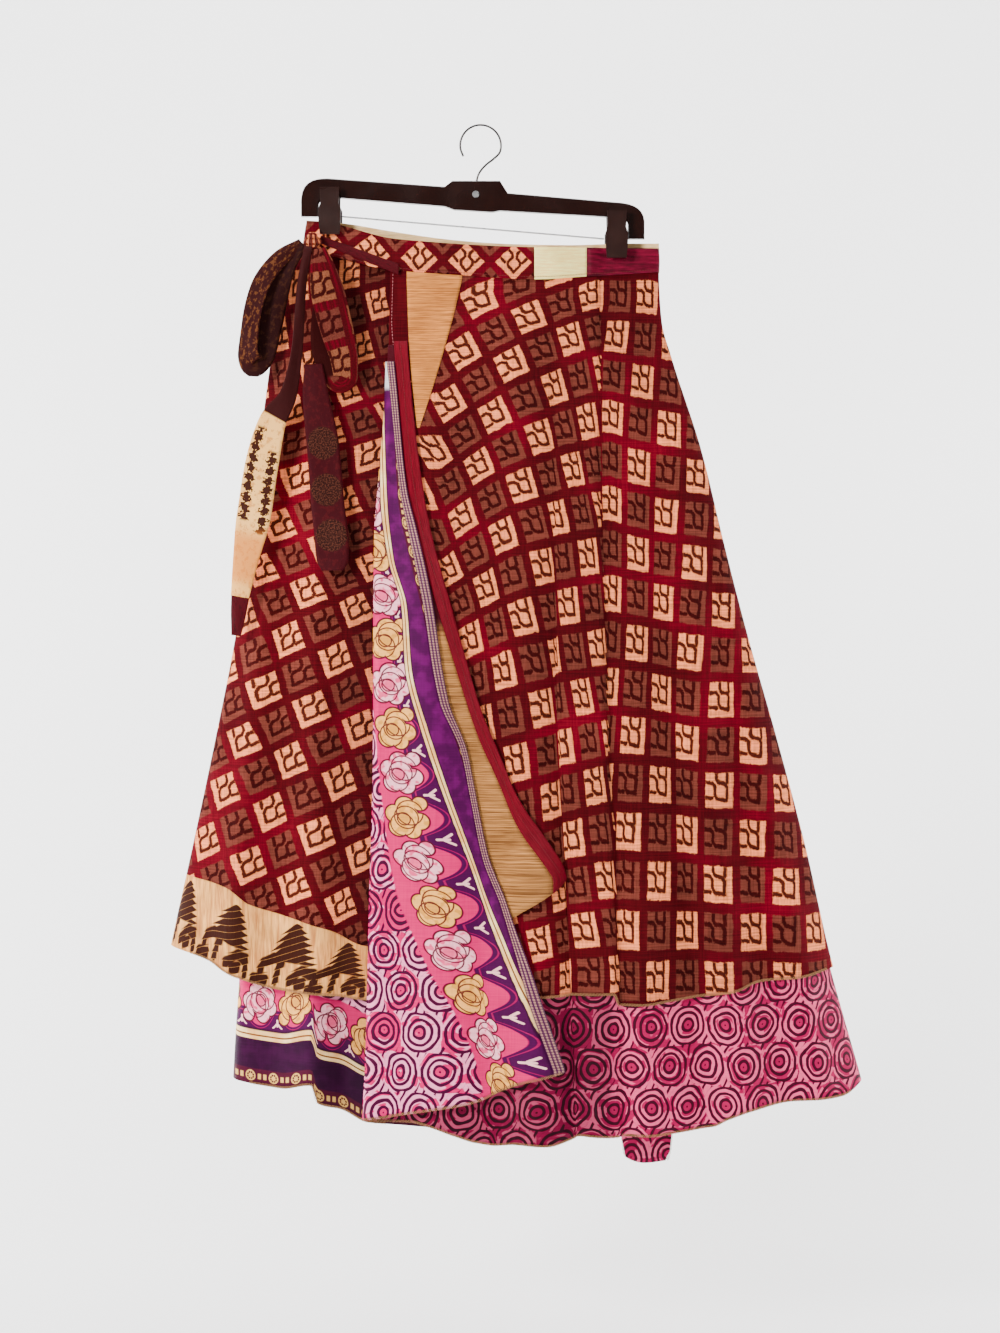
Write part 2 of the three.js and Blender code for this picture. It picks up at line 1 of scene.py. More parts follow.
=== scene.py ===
import bpy
import math
import numpy as np
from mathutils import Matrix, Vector


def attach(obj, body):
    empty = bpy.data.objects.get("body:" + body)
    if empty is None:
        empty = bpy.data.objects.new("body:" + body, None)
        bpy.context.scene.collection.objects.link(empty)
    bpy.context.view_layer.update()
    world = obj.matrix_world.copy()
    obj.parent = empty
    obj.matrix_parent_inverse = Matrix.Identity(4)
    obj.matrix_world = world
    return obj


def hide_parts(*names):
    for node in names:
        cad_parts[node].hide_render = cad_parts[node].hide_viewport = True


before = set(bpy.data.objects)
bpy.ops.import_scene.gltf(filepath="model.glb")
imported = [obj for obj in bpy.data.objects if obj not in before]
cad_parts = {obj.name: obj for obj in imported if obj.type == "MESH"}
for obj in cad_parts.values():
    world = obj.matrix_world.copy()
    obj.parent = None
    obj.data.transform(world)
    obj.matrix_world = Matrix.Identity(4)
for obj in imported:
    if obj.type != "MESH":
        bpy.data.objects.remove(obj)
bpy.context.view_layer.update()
print("frame loaded")

# sizes in mm; d is the drop below the inside top of the hook; tables pair x with the drop, or the drop with x
cloth = {"layer": 1.8, "wall": 0.55, "bandWall": 2.6, "rows": 96, "cols": 96}
outline = {
    "d":          [90, 130, 157, 200, 239, 332, 430, 528, 632, 747, 859, 990, 1090],
    "outerLeft":  [-177, -183, -197, -209, -216, -229, -240, -256, -277, -302, -327, -352, -372],
    "outerRight": [182, 182.5, 183, 186, 197, 228, 253, 279, 309, 340, 366, 403, 430],
    "innerLeft":  [-177, -181, -186, -193, -200, -212, -222, -230, -238, -245, -255, -264, -268],
    "front":      [5, 6, 8, 13, 18, 27, 34, 41, 48, 55, 61, 68, 73],
    "back":       [4, 5, 6, 11, 15, 22, 30, 37, 43, 49, 55, 61, 66],
}
# soft folds: x at three drops, rise and half width at the waist and at the hem
frontFolds = [
    (-186, -228, -262, 1, 7, 9, 16), (-164, -200, -214, -1, -6, 9, 18), (-150, -169, -172, 1, 6, 9, 16),
    (-118, -140, -138, -1, -6, 9, 15), (-60, -60, -40, 1, 6, 18, 30), (-10, -5, 8, 0, -4, 18, 24),
    (41, 46, 56, 1, 6, 16, 20), (75, 77, 92, -1.5, -8, 10, 13), (112, 116, 126, 1, 3, 12, 14),
    (150, 156, 168, 1, 7, 8, 15), (164, 190, 222, -1, -8, 8, 20), (172, 226, 262, 0, 6, 8, 18),
    (176, 248, 300, 0, -6, 8, 17), (180, 262, 336, 0, 5, 8, 16)]
backFolds = [
    (-150, -196, -246, 1, 9, 12, 22), (-110, -150, -186, -1, -9, 12, 24), (-70, -92, -112, 1, 10, 14, 24),
    (-25, -32, -42, -1, -8, 14, 24), (20, 24, 30, 1, 11, 14, 26), (62, 84, 104, -1, -9, 14, 24),
    (104, 146, 184, 1, 10, 12, 24), (140, 204, 262, -1, -8, 12, 24), (166, 246, 328, 0, 7, 10, 20)]
foldLine = [(140, -94), (279, -97), (362, -103), (424, -107), (640, -108), (800, -112), (955, -115), (1030, -118)]
outerEdge = [(150, -79), (237, -73), (314, -65), (414, -52), (487, -33), (591, -1), (674, 35), (770, 82)]
innerEdge = [(240, -88), (372, -72), (414, -63), (487, -50), (591, -35), (643, -14), (695, -2), (747, 10),
             (799, 33), (851, 50), (903, 62), (965, 77)]
pressLine = [(90, 122), (362, 121), (468, 124), (591, 127), (674, 130), (726, 134), (799, 135), (892, 140), (1090, 142)]
frontSeam = [(-190, 126), (-160, 132), (-94, 148), (-19, 154), (58, 158), (109, 155), (190, 149)]
backSeam = [(-190, 130), (-94, 141), (0, 151), (100, 155), (190, 150)]
frontTop = [(-190, 97), (-160, 98), (-141, 103), (-91, 116), (-60, 119), (-3, 123), (54, 125), (190, 125.5)]
underTop = [(-190, 96), (-160, 99), (-141, 105), (-91, 118), (-60, 121), (-3, 125), (54, 127), (190, 128)]
backTop = [(-190, 96), (-160, 97), (-133, 100), (-98, 106), (-35, 115), (-1, 118), (37, 120), (95, 121), (150, 119.5),
           (190, 120)]
outerHem = [(-20, 893), (70, 892), (134, 890), (142, 902), (161, 902), (206, 898), (258, 891), (285, 882), (319, 880),
            (366, 872)]
underHem = [(-330, 847), (-279, 861), (-253, 876), (-213, 888), (-165, 892), (-115, 897), (150, 894)]
borderTop = [(-312, 773), (-260, 785), (-240, 801), (-180, 818), (-159, 825), (-114, 842), (150, 846)]
outerBackHem = [(-330, 847), (-240, 872), (-100, 888), (100, 890), (250, 884), (370, 871)]
innerHem = [(-118, 1020), (-71, 1020), (-49, 1025), (-27, 1033), (-7, 1041), (15, 1045), (39, 1043), (68, 1044),
            (82, 1041), (111, 1036), (181, 1036), (208, 1034), (240, 1031), (256, 1022), (276, 1014), (308, 1009),
            (353, 1005), (376, 1004), (403, 990)]
innerUnderHem = [(-258, 989), (-207, 994), (-174, 987), (-168, 1005), (-145, 1012), (-115, 1024), (150, 1030)]
innerBackHem = [(-258, 989), (-120, 1012), (0, 1026), (120, 1030), (148, 1040), (155, 1090), (178, 1098),
                (202, 1096), (209, 1040), (300, 1010), (403, 990)]
outerTurnHem = [(-116, 892), (35, 812), (68, 785), (84, 768)]
innerTurnHem = [(-120, 1018), (-27, 1001), (4, 993), (80, 966)]


def flow(xs, ys, at):
    # smooth curve through a short table, without overshoot
    xs, ys, at = np.asarray(xs, float), np.asarray(ys, float), np.asarray(at, float)
    step = np.diff(ys) / np.diff(xs)
    slope = np.zeros(len(xs))
    same = step[:-1] * step[1:] > 0
    slope[1:-1][same] = 2 * step[:-1][same] * step[1:][same] / (step[:-1] + step[1:])[same]
    slope[0], slope[-1] = step[0], step[-1]
    at = np.clip(at, xs[0], xs[-1])
    i = np.clip(np.searchsorted(xs, at) - 1, 0, len(xs) - 2)
    h = xs[i + 1] - xs[i]
    t = (at - xs[i]) / h
    return ((2 * t**3 - 3 * t**2 + 1) * ys[i] + (t**3 - 2 * t**2 + t) * h * slope[i]
            + (3 * t**2 - 2 * t**3) * ys[i + 1] + (t**3 - t**2) * h * slope[i + 1])


def look(table, at):
    return flow([p[0] for p in table], [p[1] for p in table], at)


def column(key, d):
    return flow(outline["d"], outline[key], d)


def ease(t):
    t = np.clip(t, 0, 1)
    return t * t * (3 - 2 * t)


def spacing(d):
    return cloth["layer"] * (1 + 0.9 * ease((np.asarray(d, float) - 170) / 350))  # layers hang looser further down


def ends(layer, d):
    inset = 2 * spacing(d) - 3
    left = column(layer + "Left", d) + inset
    right = column("outerRight", d) - inset
    return left, (column("outerLeft", d) + column("outerRight", d)) / 2, right


def foldRise(folds, x, d):
    total = np.zeros(np.broadcast(x, d).shape)
    t = np.clip((d - 150) / 742, 0, 1.25)
    for top, mid, low, riseTop, riseLow, wideTop, wideLow in folds:
        at = flow([150, 528, 892, 1090], [top, mid, low, low + (low - mid) * 0.5], d)
        wide = wideTop + (wideLow - wideTop) * t
        total += (riseTop + (riseLow - riseTop) * t) * np.exp(-((x - at) / wide) ** 2)
    creases = 0.5 * np.sin(x / 13 + d / 170) * np.sin(d / 61 + x / 90) + 0.3 * np.sin(x / 7.3 - d / 120)
    return (total + creases * ease((d - 150) / 200)) * ease((d - 150) / 60)


def basePoint(layer, s, d):
    left, mid, right = ends(layer, d)
    run, side = np.cos(np.pi * s), np.sin(np.pi * s)
    x = np.where(run > 0, mid - (mid - left) * run, mid - (right - mid) * run)
    l, m, r = ends("outer", d)
    t = np.where(x < m, (m - x) / (m - l), (x - m) / (r - m))
    window = ease(np.sqrt(np.clip(1 - t * t, 0, 1)) / 0.45) * ease(np.abs(side) / 0.25)
    front = s <= 1
    depth = np.where(front, column("front", d), column("back", d))
    folds = np.where(front, -foldRise(frontFolds, x, d), foldRise(backFolds, x, d)) * window
    return x, -side * depth + folds + 2


def clothPoint(layer, s, d, off):
    e = 0.003
    ax, ay = basePoint(layer, s - e, d)
    bx, by = basePoint(layer, s + e, d)
    x, y = basePoint(layer, s, d)
    nx, ny = by - ay, ax - bx
    atEnd = (s == 0) | (s == 1) | (s == 2)
    nx = np.where(atEnd, np.where(s == 1, 1.0, -1.0), nx)
    ny = np.where(atEnd, 0.0, ny)
    n = np.maximum(np.hypot(nx, ny), 1e-9)
    return np.stack([x + nx / n * off, y + ny / n * off, -d * np.ones_like(x)], axis=-1)


def sideOf(layer, x, d):
    left, mid, right = ends(layer, d)
    return np.arccos(np.clip(np.where(x < mid, (mid - x) / (mid - left), (mid - x) / (right - mid)), -1, 1)) / np.pi


def lift(x, d):
    return 2 * spacing(d) * (1 - ease((x - look(pressLine, d) + 4) / 7))


def turned(x, d):
    return 4 * spacing(d) + 1


def turnedTop(x, d):
    return turned(x, d) + spacing(d)


def oneOut(x, d):
    return spacing(d)


def flapOut(x, d):
    return spacing(d) + lift(x, d)


def flush(x, d):
    return 0 * x


def beside(table, by=0.0):
    return lambda d: look(table, d) + by


def addPiece(name, data):
    piece = bpy.data.objects.new(name, data)
    bpy.context.scene.collection.objects.link(piece)
    return piece


def makeMesh(name, points, faces, uvs=None):
    # uvs: name to values for each point, or to two sets of values and the faces that use the second
    mesh = bpy.data.meshes.new(name)
    mesh.from_pydata([tuple(p) for p in (np.asarray(points) / 1000).tolist()], [], faces)
    mesh.update()
    loops = np.zeros(len(mesh.loops), np.int32)
    mesh.loops.foreach_get("vertex_index", loops)
    for key, values in (uvs or {}).items():
        if isinstance(values, tuple):
            first, second, pick = values
            corners = np.zeros(len(mesh.polygons), np.int32)
            mesh.polygons.foreach_get("loop_total", corners)
            spread = np.where(np.repeat(pick, corners)[:, None], second[loops], first[loops])
        else:
            spread = values[loops]
        mesh.uv_layers.new(name=key).data.foreach_set("uv", spread.astype(np.float32).ravel())
    mesh.polygons.foreach_set("use_smooth", [True] * len(mesh.polygons))
    return addPiece(name, mesh)


def gridNormals(grid):
    n = np.cross(np.gradient(grid, axis=1), np.gradient(grid, axis=0))
    return n / np.maximum(np.linalg.norm(n, axis=2, keepdims=True), 1e-9)


def thinShell(name, grid, wall, uvs, flip=False):
    # closed wall around a grid of points; a pair of uv sets comes with the columns that use the second
    rows, cols = grid.shape[:2]
    half = rows * cols
    reach = gridNormals(grid) * (-1 if flip else 1) * wall / 2
    points = np.concatenate([(grid + reach).reshape(-1, 3), (grid - reach).reshape(-1, 3)])
    i, j = np.meshgrid(np.arange(rows - 1), np.arange(cols - 1), indexing="ij")
    a = (i * cols + j).ravel()
    r = np.arange(rows - 1) * cols
    e = r + cols - 1
    c = np.arange(cols - 1)
    b = c + (rows - 1) * cols
    faces = np.concatenate([np.stack(corners, axis=1) for corners in (
        (a, a + 1, a + cols + 1, a + cols), (a + half, a + cols + half, a + cols + 1 + half, a + 1 + half),
        (r, r + cols, r + cols + half, r + half), (e, e + half, e + cols + half, e + cols),
        (c, c + half, c + 1 + half, c + 1), (b, b + 1, b + 1 + half, b + half))])
    if flip:
        faces = faces[:, ::-1]
    full = {}
    for key, values in uvs.items():
        if isinstance(values, tuple):
            first, second = (np.concatenate([part.reshape(-1, 2)] * 2) for part in values[:2])
            full[key] = (first, second, values[2].ravel()[faces.min(axis=1) % half])
        else:
            full[key] = np.concatenate([values.reshape(-1, 2)] * 2)
    return makeMesh(name, points, faces.tolist(), full)


def areaOf(grid):
    a = np.cross(grid[1:, :-1] - grid[:-1, :-1], grid[:-1, 1:] - grid[:-1, :-1])
    b = np.cross(grid[1:, :-1] - grid[1:, 1:], grid[:-1, 1:] - grid[1:, 1:])
    return float((np.linalg.norm(a, axis=2) + np.linalg.norm(b, axis=2)).sum() / 2e6)


def panelGrid(layer, start, end, top, hem, off, back=False, rows=None, cols=None, denseStart=False, rounded=None):
    # points of a panel; start and end are 'left', 'right' or give x at a drop; the top and the hem are tables
    rows, cols = rows or cloth["rows"], cols or cloth["cols"]
    f = np.linspace(0, 1, cols)[None, :]
    if denseStart:
        f = 0.35 * f + 0.65 * f * f
    v = np.linspace(0, 1, rows)[:, None]
    d = np.full((rows, cols), 500.0)
    for step in range(14):
        bounds = []
        for stop in (start, end):
            if stop == "left":
                bounds.append(np.full_like(d, 2.0 if back else 0.0))
            elif stop == "right":
                bounds.append(np.full_like(d, 1.0))
            else:
                q = sideOf(layer, stop(d), d)
                bounds.append(2 - q if back else q)
        s = bounds[0] + (bounds[1] - bounds[0]) * f
        if not isinstance(start, str) and not isinstance(end, str):
            s = sideOf(layer, start(d) + (end(d) - start(d)) * f, d)
        x = basePoint(layer, s, d)[0]
        t, h = look(top, x), look(hem, x)
        d = (d if step > 4 else t + (h - t) * v) * 0.4 + (t + (h - t) * v) * 0.6
    o = off(x, d) if callable(off) else np.full_like(d, float(off))
    if rounded:  # the turned-over edge, from the level below round to this one
        run, low = rounded
        k = np.clip((x - look(foldLine, d)) / run, 0, 1)
        o = low(d) + (o - low(d)) * np.sqrt(1 - (1 - k) ** 2)
    return clothPoint(layer, s, d, o), x, d


# pattern charts: where the woven blocks fall; columns and rows are numbered lines of the weave
chartRight = {"d": [175, 258, 341, 424, 508, 591, 674, 757, 840, 903],
              "columns": [(144, 172, 199, 226, 253, 280, 307, 334), (137, 167, 197, 225, 253, 280, 307, 334),
                          (135, 162, 193, 225, 257, 286, 313, 340), (135, 161, 189, 222, 253, 284, 315, 347),
                          (134, 161, 186, 217, 250, 282, 315, 349), (129, 158, 185, 212, 248, 283, 318, 353),
                          (123, 153, 184, 211, 245, 281, 317, 353), (120, 150, 183, 212, 243, 280, 317, 353),
                          (121, 151, 181, 212, 244, 281, 317, 352), (124, 154, 179, 212, 247, 282, 318, 353)],
              "at": [134, 166, 197, 228, 270, 322],
              "rows": [(0, 175, 175, 179, 184, 189, 196), (3, 298, 307, 312, 317, 322, 328),
                       (5, 388, 397, 402, 405, 410, 414), (7, 480, 486, 491, 496, 500, 503),
                       (9, 576, 579, 586, 590, 591, 591), (11, 673, 675, 678, 682, 685, 690),
                       (13, 773, 774, 776, 778, 781, 785), (15, 877, 877, 877, 878, 879, 882)], "first": 1}
chartMiddle = {"d": [175, 237, 300, 362, 424, 487, 549, 612, 674, 736, 799, 861],
               "columns": [(-131, -89, -51, -3, 40, 83, 113), (-100, -58, -16, 29, 67, 99, 124),
                           (-68, -25, 17, 54, 85, 110, 133), (-34, 4, 41, 71, 99, 118, 139),
                           (-11, 26, 58, 82, 110, 129, 149), (10, 40, 68, 90, 116, 134, 154),
                           (24, 54, 76, 99, 122, 141, 160), (33, 64, 84, 110, 130, 149, 168),
                           (41, 69, 90, 118, 137, 156, 175), (48, 72, 97, 125, 145, 165, 184),
                           (54, 79, 106, 132, 153, 174, 195), (63, 84, 117, 139, 160, 182, 204)],
               "at": [-42, -1, 41, 82, 124],
               "rows": [(0, 203, 179, 162, 148, 135), (2, 293, 265, 240, 222, 208), (4, 379, 350, 328, 313, 300),
                        (6, 463, 435, 413, 402, 394), (8, 544, 523, 505, 495, 488), (10, 638, 614, 603, 591, 582),
                        (12, 747, 721, 702, 687, 674), (14, 830, 814, 799, 785, 773), (16, 908, 898, 887, 874, 869)],
               "first": -3}
chartLeft = [(175, -294, 26.5), (258, -294, 30.2), (341, -313, 40.0), (424, -281, 39.5), (508, -246, 41.2),
             (591, -220, 43.2), (674, -186, 41.6), (757, -159, 40.6), (840, -129, 40.6)]  # drop, first column, pitch
chartLeftRows = [(-9, 208, -0.3), (-8, 252, -0.36), (-7, 291, -0.36), (-6, 326, -0.3), (-5, 362, -0.32),
                 (-4, 405, -0.35), (-3, 443, -0.35), (-2, 483, -0.38), (-1, 524, -0.46), (0, 566, -0.42),
                 (1, 606, -0.47), (2, 650, -0.46), (3, 693, -0.46), (4, 738, -0.46), (5, 781, -0.46), (6, 822, -0.46)]


def between(at, lines, values):
    # lines: positions of evenly numbered lines, one array per line, rising; reads the number at a position
    out = values[0] + (at - lines[0]) / (lines[1] - lines[0]) * (values[1] - values[0])
    for k in range(1, len(lines) - 1):
        out = np.where(at > lines[k], values[k] + (at - lines[k]) / (lines[k + 1] - lines[k])
                       * (values[k + 1] - values[k]), out)
    return out


def chartOf(chart, x, d):
    across = [flow(chart["d"], [row[k] for row in chart["columns"]], d) for k in range(len(chart["columns"][0]))]
    u = between(x, across, [chart["first"] + k for k in range(len(across))])
    down = [flow(chart["at"], row[1:], x) for row in chart["rows"]]
    v = between(d, down, [row[0] for row in chart["rows"]])
    return np.stack([u, v], axis=-1)


def chartOfLeft(x, d):
    start = flow([r[0] for r in chartLeft], [r[1] for r in chartLeft], d)
    pitch = flow([r[0] for r in chartLeft], [r[2] for r in chartLeft], d)
    u = (x - start) / pitch
    down = [y + slope * (x + 188) for _, y, slope in chartLeftRows]
    v = between(d, down, [r[0] for r in chartLeftRows])
    return np.stack([v, -u], axis=-1)


def chartPlain(x, d, pitch=(36.5, 45), hub=900):
    r = hub + d - 150
    a = x / (r * 0.8)
    return np.stack([r * np.sin(a) / pitch[0], (r * np.cos(a) - hub) / pitch[1]], axis=-1)


def aroundSides(layer, grid, x, d):
    # x let out by the cloth's own length where it turns round the side edges, so that patterns keep their size there
    left, middle, right = ends(layer, d)
    t = np.where(x < middle, (middle - x) / (middle - left), (x - middle) / (right - middle))
    run = np.diff(grid, axis=1)
    gate = ease(((t[:, 1:] + t[:, :-1]) / 2 - 0.86) / 0.08)
    extra = (np.hypot(run[..., 0], run[..., 1]) - np.abs(run[..., 0])) * gate
    total = np.concatenate([np.zeros((len(x), 1)), np.cumsum(extra, axis=1)], axis=1)
    total -= np.take_along_axis(total, np.argmin(t, axis=1)[:, None], axis=1)
    return x + total * np.sign(x[:, -1:] - x[:, :1])


def cutOf(x, d):
    return np.stack([x / 1000, d / 1000], axis=-1)


# lines that run down the turned pink panel, one row a drop: lace edge, lace, stripe, stripe, rose middles, rings
turnedBands = [
    (279, -82, -90, -99, -105, -113, -134), (383, -74, -82, -94, -102, -113, -134),
    (446, -60, -69, -86, -93, -105, -130), (493, -52, -59, -72, -79, -95, -124),
    (555, -38, -47, -67, -75, -91, -117), (612, -25, -34, -54, -61, -85, -107), (678, -5, -12, -36, -43, -76, -99),
    (736, 7, 1, -15, -23, -68, -91), (780, 24, 18, 4, -5, -51, -84), (840, 52, 43, 33, 22, -33, -60),
    (909, 74, 67, 62, 52, -6, -28), (963, 84, 80, 77, 70, 18, -9), (1007, 90, 83, 85, 79, 35, 1)]


def turnedUv(x, d):
    ds = [r[0] for r in turnedBands]
    lines = [flow(ds, [r[k] for r in turnedBands], d) for k in range(1, 7)]
    u = between(-x, [-line for line in lines], [0, 1, 2, 3, 4, 5])
    v = (d - 481.5) / 45.2
    return np.stack([u, v], axis=-1), np.stack([(x - lines[4]) / 45.2, v], axis=-1)


def hemUv(x, d, hem, shift=-154, pitch=38):
    h = look(hem, x) - d
    u = between(h, [np.zeros_like(h) + k for k in (0, 15, 46, 57, 86, 112)], [0, 1, 2, 3, 4, 5])
    v = (x - shift) / pitch
    return np.stack([u, v], axis=-1), np.stack([(86 - h) / 45.2, v], axis=-1)


made, pieces = {}, {}


def clothPiece(name, node, grid, uvs, wall=cloth["wall"], held="hung", rests=(), flip=False, narrowest=0.02):
    piece = thinShell(name, grid, wall, uvs, flip)
    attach(piece, "root")
    if node:
        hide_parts(node)
    runs = [float(np.linalg.norm(np.diff(grid, axis=k), axis=2).sum(axis=k).max()) / 1000 for k in (1, 0)]
    wide, long = (round(max(run, narrowest), 3) for run in runs)
    pieces[name] = piece
    made[name] = (piece, wide, long, round(areaOf(grid), 4), held, list(rests))


# outer layer
grid, x, d = panelGrid("outer", "left", beside(pressLine, -8), frontSeam, borderTop, oneOut)
clothPiece("outerUnder", "outer_under", grid,
           {"chart": chartOfLeft(aroundSides("outer", grid, x, d), d), "cut": cutOf(x, d)})
grid, x, d = panelGrid("outer", "left", beside(pressLine, -8), borderTop, underHem, oneOut, rows=22)
x = aroundSides("outer", grid, x, d)
clothPiece("hemBorder", "outer_hem_border", grid,
           {"cut": cutOf(x, d), "frame": cutOf(x, look(underHem, x) - d)})
grid, x, d = panelGrid("outer", beside(foldLine, 1.5), "right", frontSeam, outerHem, flapOut, cols=170)
right = x > look(pressLine, d)
x = aroundSides("outer", grid, x, d)
middle = chartOf(chartMiddle, x, d)
middle[(x < -60) & (d < 262)] = 0.5  # the plain corner of the flap, beside the wedge
clothPiece("outerFront", "outer_front", grid,
           {"chart": (middle, chartOf(chartRight, x, d), right), "cut": cutOf(x, d)})
grid, x, d = panelGrid("outer", "right", "left", backSeam, outerBackHem, oneOut, back=True, cols=170)
x = aroundSides("outer", grid, x, d)
clothPiece("outerBack", "outer_back", grid, {"chart": chartPlain(-x, d), "cut": cutOf(x, d)})

# inner layer
grid, x, d = panelGrid("inner", "left", beside(pressLine, -8), frontSeam, innerUnderHem, 0.0, cols=120)
band, flower = hemUv(x, d, innerUnderHem)
clothPiece("innerUnder", "inner_under", grid,
           {"band": band, "flower": flower, "cut": cutOf(aroundSides("inner", grid, x, d), d)})
grid, x, d = panelGrid("outer", beside(foldLine, 1.5), "right", frontSeam, innerHem, lift, cols=150)
x = aroundSides("outer", grid, x, d)
plain = np.stack([np.full_like(x, 7.0), d / 45], axis=-1)  # rings only
clothPiece("innerFront", "inner_front", grid, {"band": plain, "flower": plain, "cut": cutOf(x, d)})
grid, x, d = panelGrid("inner", "right", "left", backSeam, innerBackHem, 0.0, back=True, cols=190)
x = 531 - aroundSides("inner", grid, x, d)
plain = np.stack([np.full_like(x, 7.0), d / 45], axis=-1)
clothPiece("innerBack", "inner_back", grid, {"band": plain, "flower": plain, "cut": cutOf(x, d)})

# turned-back edge: cream side, red binding, pink side, lace
edgeWidth = {"binding": 14.4, "lace": 8.3}
grid, x, d = panelGrid("outer", beside(foldLine, 1), beside(outerEdge, 0.2 - edgeWidth["binding"]),
                       [(-120, 226), (90, 226)], outerTurnHem, turned, cols=40, denseStart=True,
                       rounded=(6, lambda q: 3 * spacing(q)))
clothPiece("outerTurned", "outer_turned", grid, {"cut": cutOf(x, d)},
           held="folded", rests=["outerFront"])
grid, x, d = panelGrid("outer", beside(outerEdge, -edgeWidth["binding"]), beside(outerEdge),
                       [(-120, 222), (90, 222)], outerTurnHem, lambda x, d: turned(x, d) + 0.4, cols=9)
across = (x - look(outerEdge, d)) / edgeWidth["binding"]
clothPiece("edgeBinding", "outer_edge_binding", grid, {"cut": np.stack([across, d / 1000], axis=-1)},
           1.0, "folded", ["outerFront"])
grid, x, d = panelGrid("outer", beside(foldLine, -1.5), beside(innerEdge, 0.1 - edgeWidth["lace"]),
                       [(-120, 243), (90, 243)], innerTurnHem, turnedTop, cols=64, rows=130, denseStart=True,
                       rounded=(7, lambda q: 2 * spacing(q)))
band, flower = turnedUv(x, d)
clothPiece("innerTurned", "inner_turned", grid, {"band": band, "flower": flower, "cut": cutOf(x, d)},
           held="folded", rests=["outerTurned"])
grid, x, d = panelGrid("outer", beside(innerEdge, -edgeWidth["lace"]), beside(innerEdge),
                       [(-120, 243), (90, 243)], innerTurnHem, lambda x, d: turnedTop(x, d) + 0.3, cols=7, rows=150)
across = (x - look(innerEdge, d)) / edgeWidth["lace"]
clothPiece("laceTrim", "turned_trim", grid, {"cut": np.stack([across, d / 1000], axis=-1)},
           0.8, "folded", ["innerTurned"])

# cream wedge let into the flap
wedge = {"left": [(158, -76), (237, -72), (312, -64)], "right": [(158, -19), (200, -29), (312, -62)], "point": 311}
grid, x, d = panelGrid("outer", beside(wedge["left"]), beside(wedge["right"]), frontSeam,
                       [(-200, wedge["point"]), (200, wedge["point"])], lambda x, d: 3 * spacing(d) + 0.9,
                       rows=50, cols=16)
clothPiece("creamGore", "cream_gore", grid, {"cut": cutOf(x, d)}, 0.5)
print("skirt panels made")

# waistband
bandShape = {"bulge": 0.6, "rows": 12, "half": cloth["bandWall"] / 2, "diamond": 48.5}


def bandGrid(start, end, top, hem, off, back=False, cols=60):
    grid, x, d = panelGrid("outer", start, end, top, hem, 0.0, back=back, rows=bandShape["rows"], cols=cols)
    o = off(x, d) + bandShape["bulge"] * np.sin(np.linspace(0, np.pi, bandShape["rows"]))[:, None]
    s = sideOf("outer", x, d)
    if start == "left":
        s[:, 0] = 0.0
    if back:
        s = 2 - s
        s[:, 0], s[:, -1] = 1.0, 2.0
    elif end == "right":
        s[:, -1] = 1.0
    return clothPoint("outer", s, d, o), x, d


def upright(x):
    return lambda d: x + 0 * d


def diamonds(x, d):
    # blocks turned to stand on a corner
    a, b = x / bandShape["diamond"] + 0.30, (d - look(frontTop, x) - 17 + 0.02 * x) / bandShape["diamond"]
    return np.stack([a + b, b - a], axis=-1)


def bandOver(x, d):
    return lift(x, d) + bandShape["half"]


def bandUnder(x, d):
    return 0 * x + bandShape["half"]


for name, node, slot, start, end, top, off, cols in (
        ("bandFront", "waistband_front", "block_weave", upright(-160), upright(55), frontTop, bandOver, 60),
        ("bandCream", "waistband_cream", "cream_slub", upright(55.3), upright(109), frontTop, bandOver, 20),
        ("bandPlain", "waistband_plain", "wine_plain", upright(109.3), "right", frontTop, bandOver, 30),
        ("bandUnder", "waistband_under", "block_weave", "left", beside(pressLine, -8), underTop, bandUnder, 60),
        ("bandBack", "waistband_back", "cream_lining", "right", "left", backTop, bandUnder, 80)):
    back = name == "bandBack"
    grid, x, d = bandGrid(start, end, top, backSeam if back else frontSeam, off, back, cols)
    uvs = {"chart": diamonds(x, d)} if slot == "block_weave" else {}
    clothPiece(name, node, grid, {**uvs, "cut": cutOf(x, d)}, cloth["bandWall"])
print("waistband made")


# ties
def ribbonGrid(rows, steps, across=11, cup=0.8):
    # rows: x, y, drop, width, turn in degrees; smooth in between
    rows = np.array(rows, float)
    t = np.arange(len(rows))
    at = np.linspace(0, len(rows) - 1, steps)
    x, y, d, wide, turn = (flow(t, rows[:, k], at) for k in range(5))
    mid = np.stack([x, y, -d], axis=1)
    run = np.gradient(mid, axis=0)
    run /= np.linalg.norm(run, axis=1, keepdims=True)
    a = np.radians(turn)
    face = np.stack([np.sin(a), -np.cos(a), 0 * a], axis=1)
    face -= (face * run).sum(axis=1, keepdims=True) * run
    face /= np.linalg.norm(face, axis=1, keepdims=True)
    side = np.cross(run, face)
    w = np.linspace(-0.5, 0.5, across)[None, :, None]
    grid = mid[:, None, :] + side[:, None, :] * wide[:, None, None] * w
    wave = np.sin(at * 1.9)[:, None, None] * np.sin(w * 5.2 + at[:, None, None]) * 0.7
    grid = grid + face[:, None, :] * (cup * (1 - 4 * w * w) + wave)
    length = np.concatenate([[0], np.cumsum(np.linalg.norm(np.diff(mid, axis=0), axis=1))])[:, None] / 1000
    cut = np.stack([np.broadcast_to(w[..., 0] + 0.5, grid.shape[:2]), np.broadcast_to(length, grid.shape[:2])], axis=-1)
    return grid, cut


